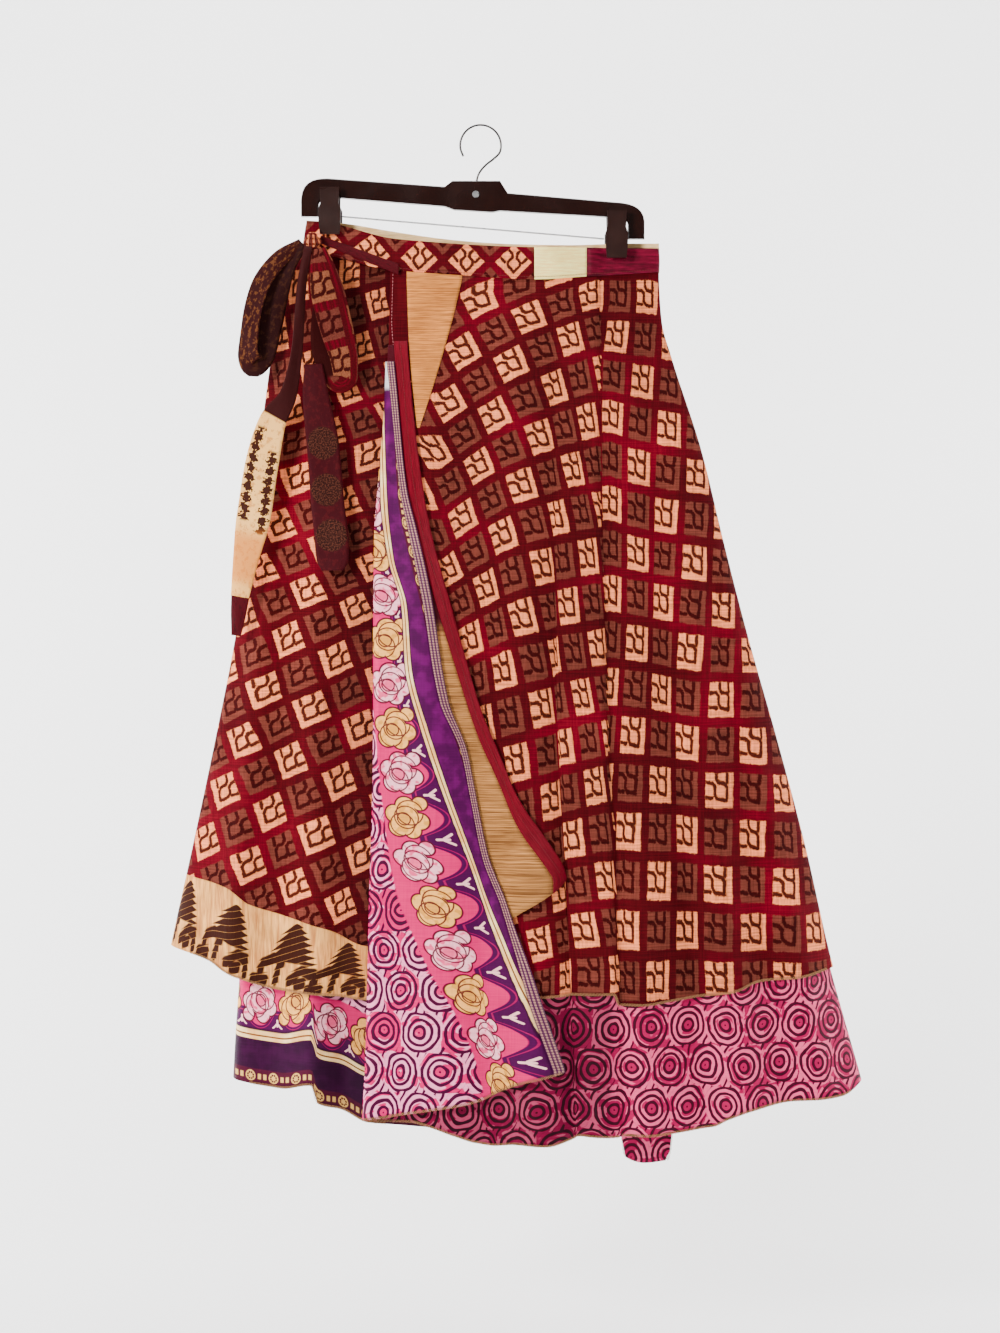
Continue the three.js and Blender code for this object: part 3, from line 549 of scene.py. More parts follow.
ties = {  # rows of x, y, drop, width and turn
    "bowLoopLeft": [(-183, -20, 122, 10, 0), (-206, -24, 139, 17, 0), (-226, -27.5, 168, 19, -10),
                    (-235, -28.5, 204, 19, -14), (-238, -26.5, 234, 22, -14), (-233, -22, 246, 26, -8),
                    (-226, -18.5, 236, 29, 0), (-219, -17.5, 204, 31, 4), (-209, -19, 170, 26, 4),
                    (-195, -21, 142, 15, 0), (-180, -21, 124, 9, 0)],
    "bowLoopRight": [(-165, -24, 128, 13, 0), (-161, -29, 150, 27, 4), (-154, -32, 182, 35, 6),
                     (-146, -33.5, 214, 33, 4), (-139, -33, 242, 28, 0), (-138, -29, 258, 25, 0),
                     (-144, -26.2, 262, 27, 0), (-155, -25.4, 246, 27, 2), (-161, -24.6, 216, 26, 4),
                     (-160, -24, 180, 22, 4), (-163, -22, 146, 14, 0)],
    "tieTailFront": [(-171, -27.5, 246, 18, 0), (-169, -31.5, 275, 26, 0), (-161, -36, 330, 33, 3),
                     (-156, -40, 390, 34, 0), (-152, -43, 425, 35, -3), (-151, -43.6, 446, 33, -3),
                     (-151, -44, 457, 22, -3)],
    "tieTailSide": [(-176, -26, 126, 8, 0), (-183, -29.5, 170, 10, 20), (-187, -31.5, 225, 12, 30),
                    (-196, -34.5, 276, 18, 22), (-213, -35.5, 306, 28, 6), (-224, -36, 350, 34, 4),
                    (-232, -36, 400, 35, 0), (-241, -36, 448, 26, -6), (-247, -35, 484, 19, -8)],
    "tieTailEnd": [(-246.5, -34.6, 483, 19, -8), (-249, -34.2, 505, 15, -8), (-251, -34, 524, 10, -10)],
}
tieNodes = {"bowLoopLeft": "bow_loop_left", "bowLoopRight": "bow_loop_right", "tieTailFront": "tie_tail_front",
            "tieTailSide": "tie_tail_side"}
tieLines = {}
for name, rows in ties.items():
    tieLines[name], cut = ribbonGrid(rows, 28 if name == "tieTailEnd" else 84)
    chart = np.stack([cut[..., 0] * 0.9 + 0.35, cut[..., 1] * 1000 / 40], axis=-1)
    clothPiece(name, tieNodes.get(name), tieLines[name],
               {"cut": cut, "chart": chart}, 0.9, flip=True, narrowest=0)
# the tie that comes from the flap's corner, on the waistband
f = np.linspace(0, 1, 50)[:, None]
w = np.linspace(-1, 1, 9)[None, :]
x, d = -84 - 80 * f + 0 * w, 148 - 31 * f + w * (5.5 - 1.5 * f)
grid = clothPoint("outer", sideOf("outer", x, d), d,
                  4 * spacing(d) + 0.9 + 0.8 * (1 - w * w) + 0.3 * np.sin(f * 20 + w * 2))
cut = np.stack([0.5 + w / 2 + 0 * f, f * 0.09 + 0 * w], axis=-1)
clothPiece("tieWrap", "tie_wrap", grid, {"cut": cut}, 0.9, "folded")
# knot: a lump of turned cloth
knot = {"middle": (-173, -18.5, -121), "size": (8.6, 7, 9.4), "turns": 5, "around": 48, "rows": 30}
a, b = np.meshgrid(np.linspace(0, 2 * np.pi, knot["around"] + 1)[:-1], np.linspace(0.05, np.pi - 0.05, knot["rows"]))
ripple = 1 + 0.09 * np.sin(knot["turns"] * b + 2 * np.sin(a)) + 0.05 * np.sin(3 * a + b)
ways = (np.sin(b) * np.cos(a), np.sin(b) * np.sin(a), np.cos(b))
ball = np.stack([at + size * way * ripple for at, size, way in zip(knot["middle"], knot["size"], ways)], axis=-1)
rows, cols = ball.shape[:2]
faces = [[i * cols + j, (i + 1) * cols + j, (i + 1) * cols + (j + 1) % cols, i * cols + (j + 1) % cols]
         for i in range(rows - 1) for j in range(cols)]
faces += [list(range(cols)), list(range(rows * cols - 1, (rows - 1) * cols - 1, -1))]
uv = np.stack([a / 6.3, b / 30], axis=-1).reshape(-1, 2)
pieces["tieKnot"] = makeMesh("tieKnot", ball.reshape(-1, 3), faces, {"cut": uv, "chart": uv * 16 + 0.2})
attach(pieces["tieKnot"], "root")
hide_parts("tie_knot")
print("ties made")


bench = {"tree": None}  # the node tree that is being built


class Wire:
    # a node's output that takes plain arithmetic, for numbers and for vectors
    def __init__(self, socket):
        self.socket = socket

    def __add__(self, other):
        return together("ADD", self, other)

    def __sub__(self, other):
        return together("SUBTRACT", self, other)

    def __rsub__(self, other):
        return together("SUBTRACT", other, self)

    def __mul__(self, other):
        return together("MULTIPLY", self, other)

    def __rmul__(self, other):
        return together("MULTIPLY", other, self)

    def __truediv__(self, other):
        return together("DIVIDE", self, other)

    def __mod__(self, other):
        return together("MODULO", self, other)

    def __pow__(self, other):
        return together("POWER", self, other)

    def __abs__(self):
        return calc("ABSOLUTE", self)


def put(socket, value):
    value = getattr(value, "socket", value)
    if isinstance(value, bpy.types.Node):
        value = value.outputs[0]
    if isinstance(value, bpy.types.NodeSocket):
        bench["tree"].links.new(value, socket)
    else:
        socket.default_value = value


def addNode(kind, inputs=None, **settings):
    node = bench["tree"].nodes.new(kind)
    for key, value in settings.items():
        setattr(node, key, value)
    for key, value in (inputs or {}).items():
        if value is not None:
            put(node.inputs[key], value)
    return node


def calc(operation, *values, clamp=False):
    return Wire(addNode("ShaderNodeMath", dict(enumerate(values)), operation=operation, use_clamp=clamp).outputs[0])


def vec(operation, a, b=None, scale=None):
    node = addNode("ShaderNodeVectorMath", {0: a, 1: b, "Scale": scale}, operation=operation)
    return Wire(node.outputs["Value" if operation in ("LENGTH", "DOT_PRODUCT") else "Vector"])


def together(operation, a, b):
    # vectors with vectors, numbers with numbers, or a vector times a number
    vectors = [isinstance(v, tuple) or isinstance(v, Wire) and v.socket.type in ("VECTOR", "RGBA") for v in (a, b)]
    if all(vectors):
        return vec(operation, a, b)
    return vec("SCALE", a, scale=b) if any(vectors) else calc(operation, a, b)


def most(a, b):
    return calc("MAXIMUM", a, b)


def least(a, b):
    return calc("MINIMUM", a, b)


def fract(a):
    return calc("FRACT", a)


def sine(a):
    return calc("SINE", a)


def lengthOf(a):
    return vec("LENGTH", a)


def split(vector):
    node = addNode("ShaderNodeSeparateXYZ", {0: vector})
    return Wire(node.outputs[0]), Wire(node.outputs[1])


def join(x, y, z=0.0):
    return Wire(addNode("ShaderNodeCombineXYZ", {0: x, 1: y, 2: z}).outputs[0])


def mix(mask, a, b, mode="MIX"):
    a, b = ((*value, 1) if isinstance(value, tuple) else value for value in (a, b))
    return Wire(addNode("ShaderNodeMix", {0: mask, 6: a, 7: b}, data_type="RGBA", blend_type=mode).outputs[2])


def darken(paint, tone):
    return mix(1.0, paint, join(tone, tone, tone), "MULTIPLY")


def ramp(value, low, high, a=0.0, b=1.0):
    inputs = {"Value": value, "From Min": low, "From Max": high, "To Min": a, "To Max": b}
    return Wire(addNode("ShaderNodeMapRange", inputs, interpolation_type="SMOOTHSTEP").outputs["Result"])


def fall(value, low, high):
    return ramp(value, low, high, 1.0, 0.0)


def noise(vector, scale, detail=2.0, rough=0.5):
    inputs = {"Vector": vector, "Scale": scale, "Detail": detail, "Roughness": rough}
    return Wire(addNode("ShaderNodeTexNoise", inputs).outputs[0])


def jitter(vector, scale, detail, reach):
    inputs = {"Vector": vector, "Scale": scale, "Detail": detail, "Roughness": 0.5}
    return (Wire(addNode("ShaderNodeTexNoise", inputs).outputs[1]) - (0.5, 0.5, 0.5)) * reach


def uvOf(name):
    return Wire(addNode("ShaderNodeUVMap", uv_map=name).outputs[0])


def stretch(vector, x, y):
    return vector * (x, y, 1.0)


def newTree(name, inputs, outputs, kind="ShaderNodeTree"):
    # inputs: label to a number, or to a kind of socket; outputs: label to a kind of socket
    tree = bench["tree"] = bpy.data.node_groups.new(name, kind)
    for label, value in inputs.items():
        socketKind = value if isinstance(value, str) else "Float"
        socket = tree.interface.new_socket(name=label, in_out="INPUT", socket_type="NodeSocket" + socketKind)
        if not isinstance(value, str):
            socket.default_value = value
    for label, value in outputs.items():
        tree.interface.new_socket(name=label, in_out="OUTPUT", socket_type="NodeSocket" + value)
    inn, out = tree.nodes.new("NodeGroupInput"), tree.nodes.new("NodeGroupOutput")
    return tree, {socket.name: Wire(socket) for socket in inn.outputs}, out.inputs


def group(tree, **values):
    return {socket.name: Wire(socket) for socket in addNode("ShaderNodeGroup", values, node_tree=tree).outputs}


# one straight stroke of a drawn motif
strokeTree, inn, out = newTree("stroke", {"Point": "Vector", "Start": "Vector", "End": "Vector", "Half": 0.04},
                               {"Mask": "Float"})
fromStart, along = inn["Point"] - inn["Start"], inn["End"] - inn["Start"]
part = calc("DIVIDE", vec("DOT_PRODUCT", fromStart, along), vec("DOT_PRODUCT", along, along), clamp=True)
put(out["Mask"], fall(lengthOf(fromStart - along * part) / inn["Half"], 0.75, 1.25))


def drawn(point, strokes, half):
    mask = None
    for start, end in strokes:
        one = group(strokeTree, Point=point, Start=(*start, 0), End=(*end, 0), Half=half)["Mask"]
        mask = most(mask, one) if mask else one
    return mask


# woven threads: a height for bump, in cut metres
threadTree, inn, out = newTree("threads", {"Cut": "Vector", "Count": 1100.0}, {"Height": "Float", "Slub": "Float"})
cx, cy = split(inn["Cut"])
turns = inn["Count"] * 6.283
weftSlub = noise(stretch(inn["Cut"], 22.0, 620.0), 1.0, 2.0)
warpSlub = noise(stretch(inn["Cut"], 560.0, 26.0), 1.0, 1.0)
put(out["Height"], sine(cx * turns) * sine(cy * turns) + (weftSlub + warpSlub))
put(out["Slub"], weftSlub * 0.65 + warpSlub * 0.35)

# the woven block: mask of the block, of light blocks, and of the dark fret, whose strokes run from 0 to 1 over a block
fret = {"half": 0.061, "wobble": 0.07, "ragged": 0.055,
        "strokes": [((.37, 0), (.37, .18)), ((.37, .18), (.45, .29)), ((.45, .29), (.66, .31)),
                    ((.66, .31), (.755, .42)), ((.755, .42), (.755, .72)), ((0, .29), (.22, .30)),
                    ((.22, .30), (.335, .40)), ((.335, .40), (.335, .62)), ((.335, .62), (.43, .74)),
                    ((.43, .74), (.75, .78)), ((.76, 0), (.76, .27)), ((0, .72), (.26, .74))]}
blockTree, inn, out = newTree("blockChart", {"Chart": "Vector", "Fill": 0.77},
                              {"Block": "Float", "Light": "Float", "Fret": "Float"})
uneven = jitter(inn["Chart"], 4.0, 1.0, fret["wobble"]) + jitter(inn["Chart"], 44.0, 0.0, fret["ragged"])
shifted = (inn["Chart"] + (100.5, 100.5, 0.0) + uneven) * (1.0, 1.0, 0.0)
cell = vec("FLOOR", shifted)
cx, cy = split(cell)
middle = (0.5, 0.5, 0.0)
lx, ly = split((shifted - cell - middle) / join(inn["Fill"], inn["Fill"], 1.0) + middle)
aside = abs(lx - 0.5)
put(out["Block"], fall(most(aside, abs(ly - 0.5)), 0.485, 0.515))
put(out["Light"], calc("LESS_THAN", (cx + cy) % 2.0, 0.5))
put(out["Fret"], drawn(join(lx, ly), fret["strokes"], fret["half"]) * calc("LESS_THAN", aside, 0.5))

# concentric rings, in rows that step by half
rings = {"wobble": 0.0078, "lines": 6.7, "phase": 0.60, "edge": (0.53, 0.56)}
ringTree, inn, out = newTree("ringChart", {"Cut": "Vector", "Pitch": 0.0388}, {"Ring": "Float", "Patch": "Float"})
spread = (inn["Cut"] + jitter(inn["Cut"], 42.0, 2.0, rings["wobble"])) / join(inn["Pitch"], inn["Pitch"] * 1.06, 1.0)
px, py = split(spread + (60.0, 60.0, 0.0))
row = calc("FLOOR", py)
px = px + row % 2.0 * 0.5
far = lengthOf(join(fract(px) - 0.5, (fract(py) - 0.5) * 0.9))
ringLine = fall(abs(fract(far * rings["lines"] + rings["phase"]) - 0.5), 0.20, 0.28)
inRing = fall(far, *rings["edge"])
dashes = fall(abs(fract(px * 5.2 + py * 2.6) - 0.5), 0.12, 0.22)  # slanted, between the rings
put(out["Ring"], most(ringLine * inRing, dashes * (1.0 - inRing)))
# each ring is half pale, half strong, cut across at its own angle
tone = (noise(join(calc("FLOOR", px), row), 3.7, 0.0) - 0.5) * 0.5
halves = noise(join(px * 1.4, py * 2.2, calc("ROUND", far * rings["lines"]) * 3.3), 1.3, 1.0)
put(out["Patch"], ramp(halves + ramp(far, 0.09, 0.12, 0.35, 0.0) + tone, 0.50, 0.54))

# a rose head with a bud: petal area and its drawn lines; one unit is the space between roses
roseShape = {"lobes": [((-.02, 0), .27), ((.0, -.22), .19), ((-.22, -.07), .18), ((-.17, .19), .19), ((.08, .25), .17),
                       ((.24, .08), .17), ((.27, -.27), .14)],
             "lines": [((-.05, .03), .12), ((.0, .0), .22), ((.07, -.09), .24), ((-.09, .14), .22)],
             "heart": (-.04, .02)}
roseTree, inn, out = newTree("roseHead", {"Point": "Vector"}, {"Petal": "Float", "Ink": "Float", "Heart": "Float"})
flatPoint = inn["Point"] * (1.0, 1.0, 0.0)
union = None
for centre, radius in roseShape["lobes"]:
    lobe = lengthOf(flatPoint - (*centre, 0)) - radius
    union = least(union, lobe) if union else lobe
ink = fall(abs(union), 0.010, 0.024)
inside = fall(union, -0.01, 0.0)
for centre, radius in roseShape["lines"]:
    ink = most(ink, fall(abs(lengthOf(flatPoint - (*centre, 0)) - radius), 0.007, 0.019) * inside)
put(out["Petal"], inside)
put(out["Ink"], ink)
put(out["Heart"], fall(lengthOf(flatPoint - (*roseShape["heart"], 0)), 0.06, 0.20))

# a woven tree of the hem border, standing on the hem; frame is metres along and above the hem
treeShape = {"half": 0.105, "lean": 0.2, "tiers": 9.0, "round": 0.52,
             "limbs": [((-.16, .40), (-.46, .44)), ((-.46, .44), (-.74, .32)), ((-.74, .32), (-.78, .22)),
                       ((-.24, .34), (-.28, .09)), ((-.60, .08), (-.94, .05)), ((.14, .13), (.44, .30)),
                       ((.44, .30), (.76, .28)), ((.76, .28), (.82, .08)), ((.36, .10), (.54, .13))]}
treeTree, inn, out = newTree("borderTree", {"Frame": "Vector", "Middle": 0.0, "Half": 0.03, "Height": 0.06},
                             {"Mask": "Float"})
fx, fy = split(inn["Frame"])
ty = (fy - 0.002) / inn["Height"]
tx = (fx - inn["Middle"] - fy * treeShape["lean"]) / inn["Half"]
tier = fract(ty * treeShape["tiers"] + tx * -2.3)
wide = most(1.01 - ty, 0.0) ** treeShape["round"] * (1.0 - tier * 0.42)
crown = ramp(wide - abs(tx - 0.08), -0.02, 0.03) * ramp(ty, 0.38, 0.41) * fall(ty, 1.0, 1.02)
limbs = drawn(join(tx, ty), treeShape["limbs"], treeShape["half"] * (1.15 - tier * 0.45))
put(out["Mask"], most(crown, limbs) * ramp(abs(tier - 0.5), 0.455, 0.49, 1.0, 0.55))

palette = {"cream": (0.93, 0.245, 0.092), "creamPale": (0.93, 0.66, 0.30), "brown": (0.140, 0.0290, 0.0190),
           "maroon": (0.064, 0.0012, 0.0036), "crimson": (0.19, 0.0008, 0.0115), "fret": (0.030, 0.0007, 0.0009),
           "purple": (0.052, 0.0003, 0.040), "violet": (0.098, 0.0006, 0.074), "hotPink": (0.60, 0.0008, 0.105),
           "palePink": (0.95, 0.40, 0.47), "paleYellow": (0.90, 0.40, 0.085), "rosePink": (0.72, 0.02, 0.13),
           "ochre": (0.62, 0.25, 0.028), "ringDark": (0.048, 0.0006, 0.020), "ringDarkShaded": (0.040, 0.0005, 0.010),
           "hotPinkShaded": (0.34, 0.0008, 0.058), "tulip": (0.90, 0.46, 0.44), "medallion": (0.66, 0.36, 0.09),
           "treeBrown": (0.027, 0.0052, 0.0020)}
materials = {}


def newMaterial(name, rough, specular):
    material = materials[name] = bpy.data.materials.new(name)
    material.use_nodes = True
    bench["tree"] = material.node_tree
    shader = material.node_tree.nodes["Principled BSDF"]
    shader.inputs["Roughness"].default_value = rough
    shader.inputs["Specular IOR Level"].default_value = specular
    return shader


def addBump(shader, height, strength, distance):
    bump = addNode("ShaderNodeBump", {"Strength": strength, "Distance": distance, "Height": height})
    put(shader.inputs["Normal"], bump)


def shadeDown(paint, cut, zones):
    # painted shade where a layer lies in the hollow behind another; zones: metres across, and how deep
    across, _ = split(cut)
    for zone in zones:
        paint = darken(paint, ramp(across, *zone))
    return paint


def blockMaterial(name, zones=(), deep=1.0, pale=palette["cream"], hollow=None):
    shader = newMaterial(name, 0.8, 0.04)
    cut = uvOf("cut")
    chart = group(blockTree, Chart=uvOf("chart"))
    threads = group(threadTree, Cut=cut, Count=900.0)
    # maroon ground mottled at random with crimson: the cloth's own tone, and painted sheen
    ground = mix(ramp(noise(cut, 9.0, 1.0), 0.44, 0.68) * 0.6, palette["maroon"], palette["crimson"])
    paint = mix(chart["Block"], ground, mix(chart["Light"], palette["brown"], pale))
    ink = chart["Fret"] * chart["Block"] * 0.97
    paint = mix(ink, paint, palette["fret"])
    faded = ramp(noise(cut, 7.0, 2.0), 0.34, 0.66, 0.88, 1.10)
    paint = darken(paint, ramp(threads["Slub"], 0.33, 0.67, 0.62 * deep, 1.20 * deep) * faded)
    # painted shade on the inside of a loop, from hollow on along the cloth
    if hollow:  # the inside of a loop
        _, along = split(cut)
        paint = mix(ramp(along, hollow, hollow + 0.006), paint, (0.020, 0.0015, 0.0015))
    put(shader.inputs["Base Color"], shadeDown(paint, cut, zones))
    addBump(shader, threads["Height"] + chart["Block"] * 1.6 - ink, 0.4, 0.0004)


def slubMaterial(name, light, dark, streak, strength, rough=0.72, lower=None, trees=()):
    shader = newMaterial(name, rough, 0.07)
    cut = uvOf("cut")
    across, down = split(cut)
    threads = group(threadTree, Cut=cut, Count=800.0)
    coarse = noise(stretch(cut, *streak), 1.0, 3.0, 0.6)
    fine = noise(stretch(cut, streak[0] * 4, streak[1] * 2), 1.0, 1.0)
    mask = ramp(coarse * 0.7 + fine * 0.3, 0.36, 0.66)
    paint = darken(mix(mask, dark, light), ramp(noise(cut, 26.0, 1.0), 0.35, 0.65, 0.86, 1.06))
    if lower:  # another colour above a drop
        paint = mix(ramp(down, lower[0], lower[1]), lower[2], paint)
    if trees:
        frameUv = uvOf("frame")
        standing = None
        for middle, half, height in trees:
            one = group(treeTree, Frame=frameUv, Middle=middle, Half=half, Height=height)["Mask"]
            standing = most(standing, one) if standing else one
        # painted shade in the hollow beside the flap, deeper towards the flap
        paint = mix(ramp(across, -0.162, -0.115) * 0.5, paint, (0.34, 0.10, 0.018))  # the hollow beside the flap
        paint = mix(standing, paint, palette["treeBrown"])
    put(shader.inputs["Base Color"], paint)
    addBump(shader, mask * 2.0 + threads["Height"], strength, 0.0005)


tulipShape = {"half": 0.026, "strokes": [((.56, .0), (.80, .0)), ((.70, .02), (.88, .12)), ((.70, -.02), (.88, -.12))]}


def printMaterial(name, pale, warm, ringColor, whiteTop=False, zones=(), purpleShade=1.0):
    # rings, with a border of roses, scallops, a double stripe and a purple band; u counts the lines of the border
    shader = newMaterial(name, 0.55, 0.06)
    cut, flower = uvOf("cut"), uvOf("flower")
    ringMask = group(ringTree, Cut=cut)
    paint = mix(ringMask["Ring"], mix(ringMask["Patch"], pale, warm), ringColor)
    u, v = split(uvOf("band"))
    fx, _ = split(flower)
    nearest = calc("ROUND", v)
    fy = v - nearest
    odd = (nearest + 100.0) % 2.0
    inBorder = ramp(u, 4.94, 5.03, 1.0, 0.0)
    paint = mix(inBorder, paint, palette["hotPink"])
    # purple with a scalloped edge that dips between the roses, a light echo of it, and a small tulip in each dip
    out = 4.0 - u
    dip = abs(fy)
    beyond = out - most(0.84 - dip * dip * 3.6, 0.22)
    paint = mix(ramp(beyond, -0.02, 0.02) * inBorder, paint, palette["purple"])
    paint = mix(fall(abs(beyond - 0.13), 0.012, 0.030) * (inBorder * 0.4), paint, palette["hotPink"])
    tulips = drawn(join(out, fract(v) - 0.5), tulipShape["strokes"], tulipShape["half"])
    paint = mix(tulips * inBorder, paint, palette["tulip"])
    # roses, pink and yellow in turn
    rose = group(roseTree, Point=join(fx, fy) * 0.88)
    blush = most(rose["Heart"], ramp(noise(flower, 6.0, 1.0), 0.50, 0.62))
    outer, inner = mix(odd, palette["palePink"], palette["paleYellow"]), mix(odd, palette["rosePink"], palette["ochre"])
    bloom = mix(blush * 0.85, outer, inner)
    there = fall(u, 4.98, 5.3)
    paint = mix(rose["Petal"] * there, paint, bloom)
    paint = mix(rose["Ink"] * there * 0.96, paint, (0.070, 0.003, 0.012))
    # double stripe
    twin = abs(u - 2.5)
    stripe = mix(ramp(noise(stretch(cut, 60.0, 40.0), 1.0), 0.35, 0.7), (0.80, 0.40, 0.13), palette["creamPale"])
    stripe = mix(fall(twin, 0.05, 0.10), stripe, (0.16, 0.045, 0.012))
    stripe = mix(ramp(twin, 0.36, 0.42), stripe, (0.030, 0.0010, 0.020))
    paint = mix(fall(u, 2.97, 3.03), paint, stripe)
    # purple band; on the under layer its colours are scaled down as painted shade
    purple = tuple(c * min(1.0, purpleShade * 1.3) for c in palette["purple"])
    violet = tuple(c * purpleShade for c in palette["violet"])
    mottle = ramp(noise(stretch(cut, 60.0, 60.0), 1.0, 3.0), 0.42, 0.66)
    paint = mix(fall(u, 1.96, 2.04), paint, mix(mottle, purple, violet))
    # gold medallions and leaves of the hem
    medal = join(u - 0.56, (fract(v * 1.55) - 0.5) * 1.62)
    far = lengthOf(medal)
    kx, ky = split(medal)
    holes = ramp(abs(far - 0.2) + calc("COSINE", calc("ARCTAN2", ky, kx) * 8.0) * 0.03, 0.03, 0.06)
    leaves = fall(abs(abs(ky) - 0.62), 0.08, 0.14) * fall(abs(kx), 0.14, 0.2)
    gold = most(fall(far, 0.32, 0.36) * holes, leaves) * ramp(u, 0.14, 0.2)
    paint = mix(fall(u, 0.97, 1.03), paint, mix(gold, (0.055, 0.003, 0.016), palette["medallion"]))
    if whiteTop:  # the plain corner above the print
        _, down = split(cut)
        paint = mix(fall(down, 0.268, 0.274), paint, (0.62, 0.60, 0.60))
    threads = group(threadTree, Cut=cut, Count=1300.0)
    paint = darken(paint, ramp(threads["Slub"], 0.3, 0.7, 0.86, 1.08))
    put(shader.inputs["Base Color"], shadeDown(paint, cut, zones))
    addBump(shader, threads["Height"], 0.15, 0.0003)


def laceMaterial(name):
    # three rows of metallic chain on a dark ground
    shader = newMaterial(name, 0.45, 0.2)
    cut = uvOf("cut")
    across, along = split(cut)
    bead = (abs(sine(along * 1150.0)) * 0.6 + 0.4) * abs(sine((across + 0.02) * 9.42))
    mask = ramp(bead * (noise(cut, 900.0, 1.0) + 0.40), 0.36, 0.74)
    put(shader.inputs["Base Color"], mix(mask, (0.050, 0.003, 0.036), (0.36, 0.17, 0.13)))
    put(shader.inputs["Metallic"], mask * 0.35)
    addBump(shader, bead, 0.8, 0.0006)


tieLeaves = {"columns": ((0.80, 0.192, 0.288), (0.22, 0.214, 0.300)), "color": (0.034, 0.008, 0.004),
             "glow": (0.62, 0.17, 0.02)}  # columns: place across, where it starts and ends along the tie


def tieMaterial(name, base, spots, medallions=(), sleeve=None, hollow=None):
    shader = newMaterial(name, 0.6, 0.06)
    cut = uvOf("cut")
    across, along = split(cut)
    threads = group(threadTree, Cut=stretch(cut, 0.03, 1.0), Count=900.0)
    mottled = ramp(noise(stretch(cut, 5.0, 130.0), 1.0, 3.0, 0.7), 0.50, 0.62)
    paint = mix(mottled * 0.8, base, spots)
    for middle in medallions:
        rim = lengthOf(join((across - 0.5) * 34.0, (along - middle) * 950.0))
        rim = rim + noise(stretch(cut, 12.0, 380.0), 1.0) * 4.0
        veins = ramp(noise(stretch(cut, 22.0, 640.0), 1.0, 2.0), 0.44, 0.60)
        paint = mix(fall(rim, 17.0, 18.5), paint, mix(veins, (0.012, 0.0022, 0.0012), (0.062, 0.014, 0.0075)))
    if sleeve:  # cream below a dark sleeve, with leaves in two columns
        for place, start, end in tieLeaves["columns"]:
            beat = fract(along * 96.0 + across * (place * 3.0 - 1.2)) - 0.5
            ragged = (noise(stretch(cut, 14.0, 380.0), 1.0, 1.0) - 0.5) * 0.9
            leaf = fall(abs(beat) * 0.55 + abs((across - place) * 2.2) + ragged, 0.34, 0.40)
            there = ramp(along, start, start + 0.003) * fall(along, end, end + 0.003)
            paint = mix(leaf * there, paint, tieLeaves["color"])
        glow = ramp(along, 0.292, 0.312) * ramp(along, 0.345, 0.36, 1.0, 0.25)
        paint = mix(glow * 0.75, paint, tieLeaves["glow"])
        paint = mix(fall(along, sleeve - 0.001, sleeve + 0.001), paint, (0.026, 0.003, 0.003))
    # painted shade on the inside of a loop, from hollow on along the cloth
    if hollow:  # the inside of a loop
        paint = mix(ramp(along, hollow, hollow + 0.006) * 0.8, paint, (0.012, 0.0012, 0.0012))
    put(shader.inputs["Base Color"], paint)
    addBump(shader, threads["Height"] + mottled, 0.3, 0.0004)


def plasticMaterial(name, base, rough, grain):
    shader = newMaterial(name, rough, 0.20)
    place = Wire(addNode("ShaderNodeTexCoord").outputs["Object"])
    put(shader.inputs["Base Color"], mix(noise(place, 60.0, 3.0), base, tuple(min(1, c * 2.2) for c in base)))
    put(shader.inputs["Roughness"], ramp(noise(place, 25.0, 2.0), 0.3, 0.7, rough - 0.06, rough + 0.1))
    addBump(shader, noise(place, 900.0, 1.0), grain, 0.0002)


def metalMaterial(name, base, rough):
    shader = newMaterial(name, rough, 0.5)
    shader.inputs["Metallic"].default_value = 1.0
    place = Wire(addNode("ShaderNodeTexCoord").outputs["Object"])
    put(shader.inputs["Base Color"], mix(noise(place, 90.0, 2.0), base, tuple(c * 0.7 for c in base)))
    put(shader.inputs["Roughness"], ramp(noise(place, 300.0, 2.0), 0.3, 0.7, rough - 0.05, rough + 0.1))


borderTrees = [(-0.3200, 0.024, 0.071), (-0.2680, 0.027, 0.073), (-0.2030, 0.036, 0.068), (-0.1480, 0.032, 0.054)]
blockMaterial("blockWeave", deep=0.93)
# blockUnder: painted shade of the flap on the under panel, deeper towards the flap
blockMaterial("blockUnder", [(-0.175, -0.120, 1.0, 0.62)])
# the right loop's block weave in painted shade: tone scaled down and pale blocks darkened
blockMaterial("blockShaded", deep=0.8, pale=(0.24, 0.070, 0.032), hollow=0.148)
blockMaterial("blockKnot", deep=0.8)
slubMaterial("hemCream", (0.93, 0.44, 0.12), (0.48, 0.17, 0.045), (300.0, 26.0), 0.4, trees=borderTrees)
slubMaterial("creamSlub", (0.80, 0.285, 0.056), (0.34, 0.105, 0.023), (20.0, 760.0), 0.6)
slubMaterial("bandCream", (0.95, 0.84, 0.30), (0.88, 0.60, 0.18), (40.0, 620.0), 0.4)
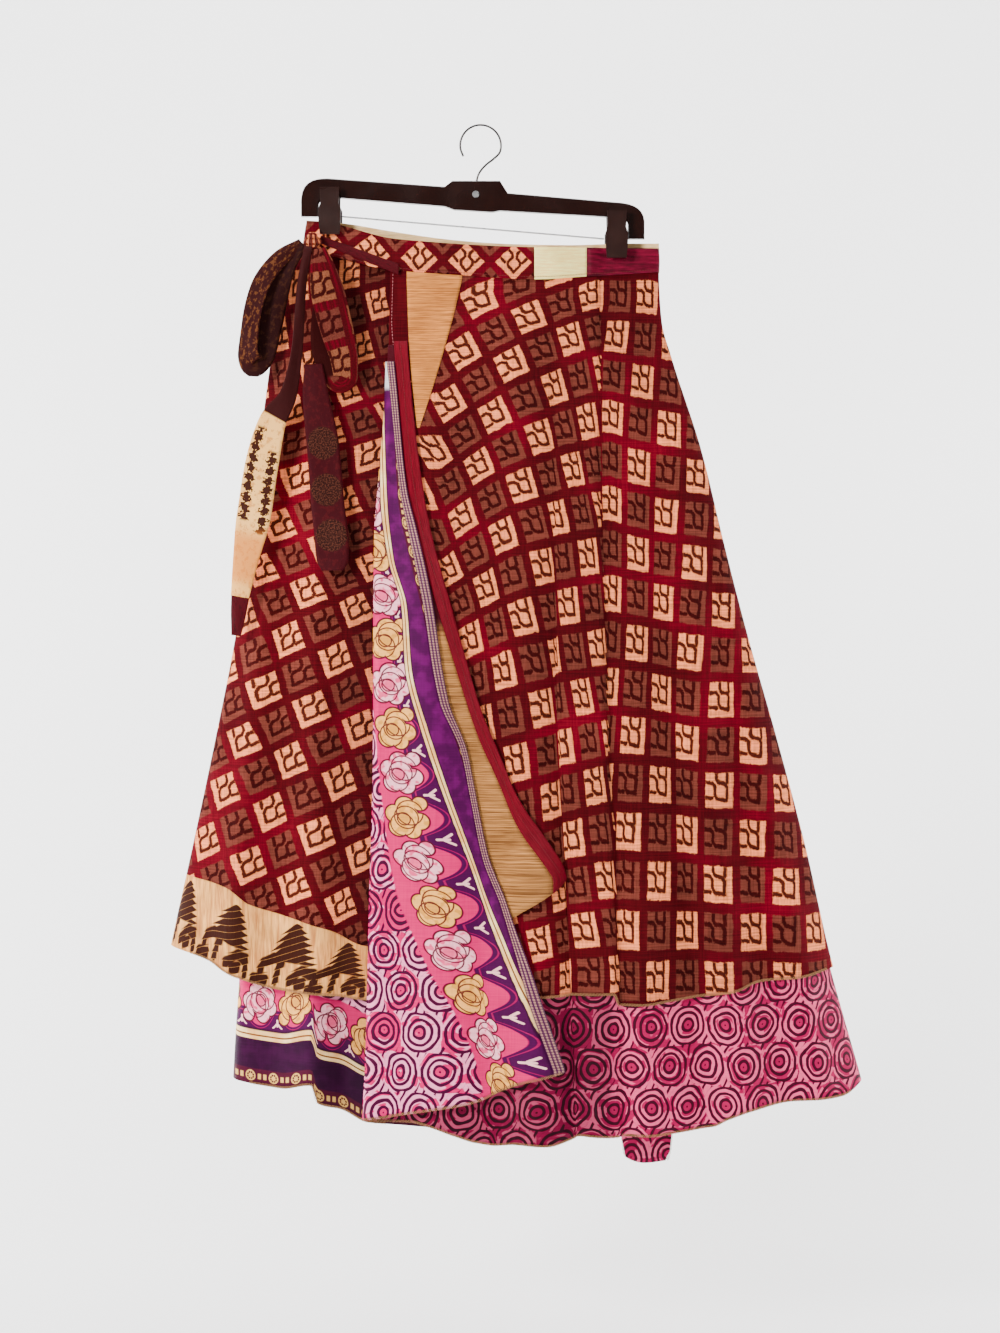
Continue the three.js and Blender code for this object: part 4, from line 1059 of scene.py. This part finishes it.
# turnedCream: its light and dark streaks are the weave's slub and painted sheen lines, both
slubMaterial("turnedCream", (0.72, 0.31, 0.085), (0.14, 0.048, 0.013), (12.0, 1000.0), 0.7, 0.42,
             (0.505, 0.53, (0.055, 0.0015, 0.006)))
slubMaterial("redBinding", (0.20, 0.0006, 0.0125), (0.060, 0.0004, 0.0035), (50.0, 50.0), 0.35, 0.5)
slubMaterial("wine", (0.150, 0.0012, 0.019), (0.040, 0.0005, 0.005), (20.0, 160.0), 0.25, 0.45)
slubMaterial("lining", (0.90, 0.62, 0.30), (0.58, 0.34, 0.14), (30.0, 500.0), 0.3)
slubMaterial("threadTan", (0.42, 0.22, 0.10), (0.22, 0.10, 0.045), (90.0, 90.0), 0.2)
slubMaterial("threadPink", (0.62, 0.22, 0.22), (0.40, 0.10, 0.12), (90.0, 90.0), 0.2)
slubMaterial("threadDark", (0.16, 0.03, 0.03), (0.08, 0.01, 0.012), (90.0, 90.0), 0.2)
laceMaterial("lace")
printMaterial("pinkPrint", (0.88, 0.25, 0.42), palette["hotPink"], palette["ringDark"], whiteTop=True)
# pinkUnder: painted shade beside the flap, and painted shade on its purple band
printMaterial("pinkUnder", (0.93, 0.30, 0.47), palette["hotPink"], palette["ringDark"],
              zones=[(-0.180, -0.168, 1.0, 0.62)], purpleShade=0.3)
# this print's pale, warm and ring colours are the pink print's colours in painted shade where the inner layer hangs
# below the outer one; its zone adds painted shade left of the press line
printMaterial("pinkPrintShaded", (0.74, 0.075, 0.185), palette["hotPinkShaded"], palette["ringDarkShaded"],
              zones=[(0.128, 0.140, 0.42, 1.0)])
# tieDark: painted shade inside the left loop
tieMaterial("tieDark", (0.020, 0.0018, 0.0018), (0.120, 0.036, 0.010), hollow=0.142)
tieMaterial("tieTail", (0.030, 0.0006, 0.0024), (0.048, 0.0020, 0.0035), medallions=(0.082, 0.130, 0.177))
tieMaterial("tieWine", (0.050, 0.0007, 0.0035), (0.026, 0.0010, 0.0020))
tieMaterial("tieCream", (0.88, 0.46, 0.13), (0.60, 0.22, 0.045), sleeve=0.180)
plasticMaterial("barPlastic", (0.0060, 0.0013, 0.0008), 0.20, 0.04)
plasticMaterial("clipPlastic", (0.0085, 0.0022, 0.0014), 0.30, 0.12)
metalMaterial("hookWire", (0.040, 0.036, 0.035), 0.35)
metalMaterial("wireSteel", (0.50, 0.50, 0.50), 0.3)

finish = {"outerUnder": "blockUnder", "outerFront": "blockWeave", "outerBack": "blockWeave", "bandFront": "blockWeave",
          "bandUnder": "blockWeave", "hemBorder": "hemCream", "outerTurned": "turnedCream", "creamGore": "creamSlub",
          "bandCream": "bandCream", "edgeBinding": "redBinding", "bandPlain": "wine", "bandBack": "lining",
          "innerTurned": "pinkPrint", "innerUnder": "pinkUnder", "innerFront": "pinkPrintShaded",
          "innerBack": "pinkPrintShaded", "laceTrim": "lace", "bowLoopLeft": "tieDark", "bowLoopRight": "blockShaded",
          "tieTailFront": "tieTail",
          "tieTailSide": "tieCream", "tieTailEnd": "tieWine", "tieWrap": "tieWine", "tieKnot": "blockKnot"}
hangerFinish = {"hanger_bar": "barPlastic", "hanger_hook": "hookWire", "hanger_wire": "wireSteel",
                "hook_rivet": "wireSteel"}
for name, key in finish.items():
    pieces[name].data.materials.append(materials[key])
for node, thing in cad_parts.items():
    key = "clipPlastic" if node.startswith("clip_") else hangerFinish.get(node)
    if key:
        thing.data.materials.clear()
        thing.data.materials.append(materials[key])
print("materials made")

# stitching: threads laid along a seam, arched, each one turned a little at random
stitchTree, inn, out = newTree("stitchRun", {"Seam": "Geometry", "Pitch": 0.0, "Length": 0.0, "Thickness": 0.0,
                                             "Slant": 0.0, "Seed": "Int", "Thread": "Material"},
                               {"Stitches": "Geometry"}, "GeometryNodeTree")
seamLine = addNode("GeometryNodeMeshToCurve", {"Mesh": inn["Seam"]})
spaced = addNode("GeometryNodeResampleCurve", {"Curve": seamLine, "Length": inn["Pitch"]}, mode="LENGTH")
halfLength = inn["Length"] * 0.5
straight = addNode("GeometryNodeCurvePrimitiveLine",
                   {"Start": join(halfLength * -1.0, 0.0), "End": join(halfLength, 0.0)})
bends = addNode("GeometryNodeResampleCurve", {"Curve": straight, "Count": 4}, mode="COUNT")
along = Wire(addNode("GeometryNodeSplineParameter").outputs["Factor"])
arch = sine(along * math.pi) * inn["Thickness"]  # the middle stands up, the ends go into the cloth
bent = addNode("GeometryNodeSetPosition", {"Geometry": bends, "Offset": join(0.0, 0.0, arch)})
strand = addNode("GeometryNodeCurvePrimitiveCircle", {"Resolution": 5, "Radius": inn["Thickness"]})
thread = addNode("GeometryNodeCurveToMesh", {"Curve": bent, "Profile Curve": strand, "Fill Caps": True})
outward, lengthwise = (
    addNode("GeometryNodeInputNamedAttribute", {"Name": label}, data_type="FLOAT_VECTOR").outputs["Attribute"]
    for label in ("outward", "lengthwise"))
facing = addNode("FunctionNodeAxesToRotation", {"Primary Axis": outward, "Secondary Axis": lengthwise},
                 primary_axis="Z", secondary_axis="X")
chance = addNode("FunctionNodeRandomValue", {2: -0.14, 3: 0.14, "Seed": inn["Seed"]}, data_type="FLOAT")
swing = addNode("FunctionNodeEulerToRotation", {"Euler": join(0.0, 0.0, Wire(chance.outputs[1]) + inn["Slant"])})
placed = addNode("FunctionNodeRotateRotation", {"Rotation": facing, "Rotate By": swing}, rotation_space="LOCAL")
sewn = addNode("GeometryNodeInstanceOnPoints", {"Points": spaced, "Instance": thread, "Rotation": placed})
realized = addNode("GeometryNodeRealizeInstances", {"Geometry": sewn})
put(out["Stitches"], addNode("GeometryNodeSetMaterial", {"Geometry": realized, "Material": inn["Thread"]}))
stitchSocket = {item.name: item.identifier for item in stitchTree.interface.items_tree if item.in_out == "INPUT"}


def sewRun(name, slot, key, points, outwards, lengths, pitch, length, thick, slant, seed):
    mesh = bpy.data.meshes.new(name)
    mesh.from_pydata([tuple(p) for p in (points / 1000).tolist()], [(i, i + 1) for i in range(len(points) - 1)], [])
    for label, values in (("outward", outwards), ("lengthwise", lengths)):
        attribute = mesh.attributes.new(label, "FLOAT_VECTOR", "POINT")
        attribute.data.foreach_set("vector", np.asarray(values, np.float32).ravel())
    line = addPiece(name, mesh)
    modifier = line.modifiers.new("stitchRun", "NODES")
    modifier.node_group = stitchTree
    for label, value in (("Pitch", pitch / 1000), ("Length", length / 1000), ("Thickness", thick / 1000),
                         ("Slant", slant), ("Seed", seed), ("Thread", materials[key])):
        modifier[stitchSocket[label]] = value
    result = bpy.data.meshes.new_from_object(line.evaluated_get(bpy.context.evaluated_depsgraph_get()))
    bpy.data.objects.remove(line)
    result.polygons.foreach_set("use_smooth", [True] * len(result.polygons))
    piece = addPiece(name, result)
    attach(piece, "root")


def alongOf(points):
    run = np.gradient(points, axis=0)
    return run / np.linalg.norm(run, axis=1, keepdims=True)


def surfaceRun(layer, xs, ds, off, back=False):
    s = sideOf(layer, xs, ds)
    s = 2 - s if back else s
    points = clothPoint(layer, s, ds, off)
    outwards = clothPoint(layer, s, ds, off + 1.0) - points
    return points, outwards / np.linalg.norm(outwards, axis=1, keepdims=True), alongOf(points)


hems = [("hemStitchFront", "block_weave", "outer", -112, 360, outerHem, flapOut, False),
        ("hemStitchLeft", "tree_border", "outer", -300, -96, underHem, oneOut, False),
        ("hemStitchInner", "pink_print", "outer", -112, 388, innerHem, lift, False),
        ("hemStitchUnder", "pink_print", "inner", -240, -96, innerUnderHem, flush, False),
        ("hemStitchTurned", "pink_print", "outer", -116, 76, innerTurnHem, turnedTop, False),
        ("hemStitchOuterBack", "block_weave", "outer", -296, 356, outerBackHem, oneOut, True),
        ("hemStitchInnerBack", "pink_print", "inner", -236, 386, innerBackHem, flush, True)]
for seed, (name, slot, layer, first, last, hem, off, back) in enumerate(hems, 1):
    xs = np.arange(first, last, 2.0)
    ds = look(hem, xs) - 0.9
    points, outwards, run = surfaceRun(layer, xs, ds, off(xs, ds) + 0.35, back)
    sewRun(name, slot, "threadTan", points, outwards, np.cross(run, outwards), 1.5, 3.0, 0.34, 0.45, seed)
ds = np.arange(228, 766, 2.0)
run = surfaceRun("outer", look(outerEdge, ds) - edgeWidth["binding"] / 2, ds, turned(0, ds) + 1.15)
sewRun("bindingStitch", "red_binding", "threadDark", *run, 3.2, 2.1, 0.24, 0.0, 8)
ds = np.arange(150, 252, 2.0)
run = surfaceRun("outer", look([(150, -90), (200, -91), (252, -86)], ds), ds, 3 * spacing(ds) + 0.55)
sewRun("cornerStitch", "block_weave", "threadPink", *run, 3.4, 1.9, 0.26, 0.0, 9)
xs = np.arange(-158, 184, 2.0)
ds = look(frontSeam, xs) - 2.6
run = surfaceRun("outer", xs, ds, lift(xs, ds) + cloth["bandWall"] + 0.45)
sewRun("bandStitch", "block_weave", "threadDark", *run, 2.8, 2.0, 0.22, 0.0, 10)
ribbonHems = [("tieTailFront", "tie_cloth", "threadPink"), ("bowLoopRight", "tie_cloth", "threadTan"),
              ("tieTailSide", "tie_cream", "threadDark")]
for seed, (name, slot, key) in enumerate(ribbonHems, 20):
    normals = gridNormals(tieLines[name])
    for side, at in (("A", 1), ("B", -2)):
        points = tieLines[name][2:-2, at] - normals[2:-2, at] * 0.55
        sewRun(name + "Stitch" + side, slot, key, points, -normals[2:-2, at], alongOf(points), 2.6, 1.8, 0.2, 0.0, seed)
print("stitches sewn")

# area of each cut piece, worked out but not kept
for piece, wide, long, size, held, rests in made.values():
    area = min(size, round(wide * long, 4))
    max(area, 0.31 * wide * long)

# floor, light, camera
studio = {"floor": -1.32, "wall": 1.6, "cove": 1.0, "front": -5.0, "side": 6, "top": 4.0, "white": (0.92, 0.92, 0.92)}
profile = [(studio["front"], studio["floor"])]
for a in np.linspace(0, math.pi / 2, 13):
    profile.append((studio["wall"] + studio["cove"] * (math.sin(a) - 1),
                    studio["floor"] + studio["cove"] * (1 - math.cos(a))))
profile.append((studio["wall"], studio["top"]))
verts = [(side, y, z) for side in (-studio["side"], studio["side"]) for y, z in profile]
count = len(profile)
faces = [[count + i, count + i + 1, i + 1, i] for i in range(count - 1)]
floor = makeMesh("studioFloor", np.array(verts) * 1000, faces)
shader = newMaterial("studioWhite", 0.9, 0.3)
place = Wire(addNode("ShaderNodeTexCoord").outputs["Object"])
put(shader.inputs["Base Color"], mix(noise(place, 2.0), studio["white"], (0.95, 0.95, 0.95)))
backfacing = Wire(addNode("ShaderNodeNewGeometry").outputs["Backfacing"])
put(shader.inputs["Alpha"], 1.0 - backfacing)  # seen through from outside
floor.data.materials.append(materials["studioWhite"])

world = bpy.data.worlds.new("studioWorld")
bpy.context.scene.world = world
world.use_nodes = True
background = world.node_tree.nodes["Background"]
background.inputs["Color"].default_value = (1, 1, 1, 1)
background.inputs["Strength"].default_value = 0.42

for name, place, target, size, power in (("keyLight", (-1.7, -2.1, 0.45), (0, 0, -0.55), 0.7, 142),
                                         ("fillLight", (2.2, -2.2, -0.3), (0, 0, -0.6), 1.6, 16),
                                         ("backdropLight", (0, 0.2, 1.9), (0, 1.6, -0.4), 2.0, 110),
                                         ("backdropLeft", (-1.9, 0.35, -0.6), (-0.3, 1.6, -0.5), 1.4, 60),
                                         ("backdropRight", (1.9, 0.35, -0.6), (0.3, 1.6, -0.5), 1.4, 60)):
    light = bpy.data.lights.new(name, "AREA")
    light.shape, light.size, light.energy = "DISK", size, power
    thing = addPiece(name, light)
    thing.location = place
    thing.rotation_euler = (Vector(target) - Vector(place)).to_track_quat("-Z", "Y").to_euler()

lens = {"away": 2.6, "tilt": 3.0, "aim": (0.020, -0.02, -0.5565), "height": 1.3780, "sensor": 36}
camera = bpy.data.cameras.new("studioCamera")
cameraThing = addPiece("studioCamera", camera)
camera.sensor_fit, camera.sensor_height = "VERTICAL", lens["sensor"]
camera.lens = lens["sensor"] * lens["away"] / lens["height"]
aim, tilt = Vector(lens["aim"]), math.radians(lens["tilt"])
cameraThing.location = aim + Vector((0, -lens["away"] * math.cos(tilt), lens["away"] * math.sin(tilt)))
cameraThing.rotation_euler = (aim - cameraThing.location).to_track_quat("-Z", "Y").to_euler()
bpy.context.scene.camera = cameraThing
print("studio made")
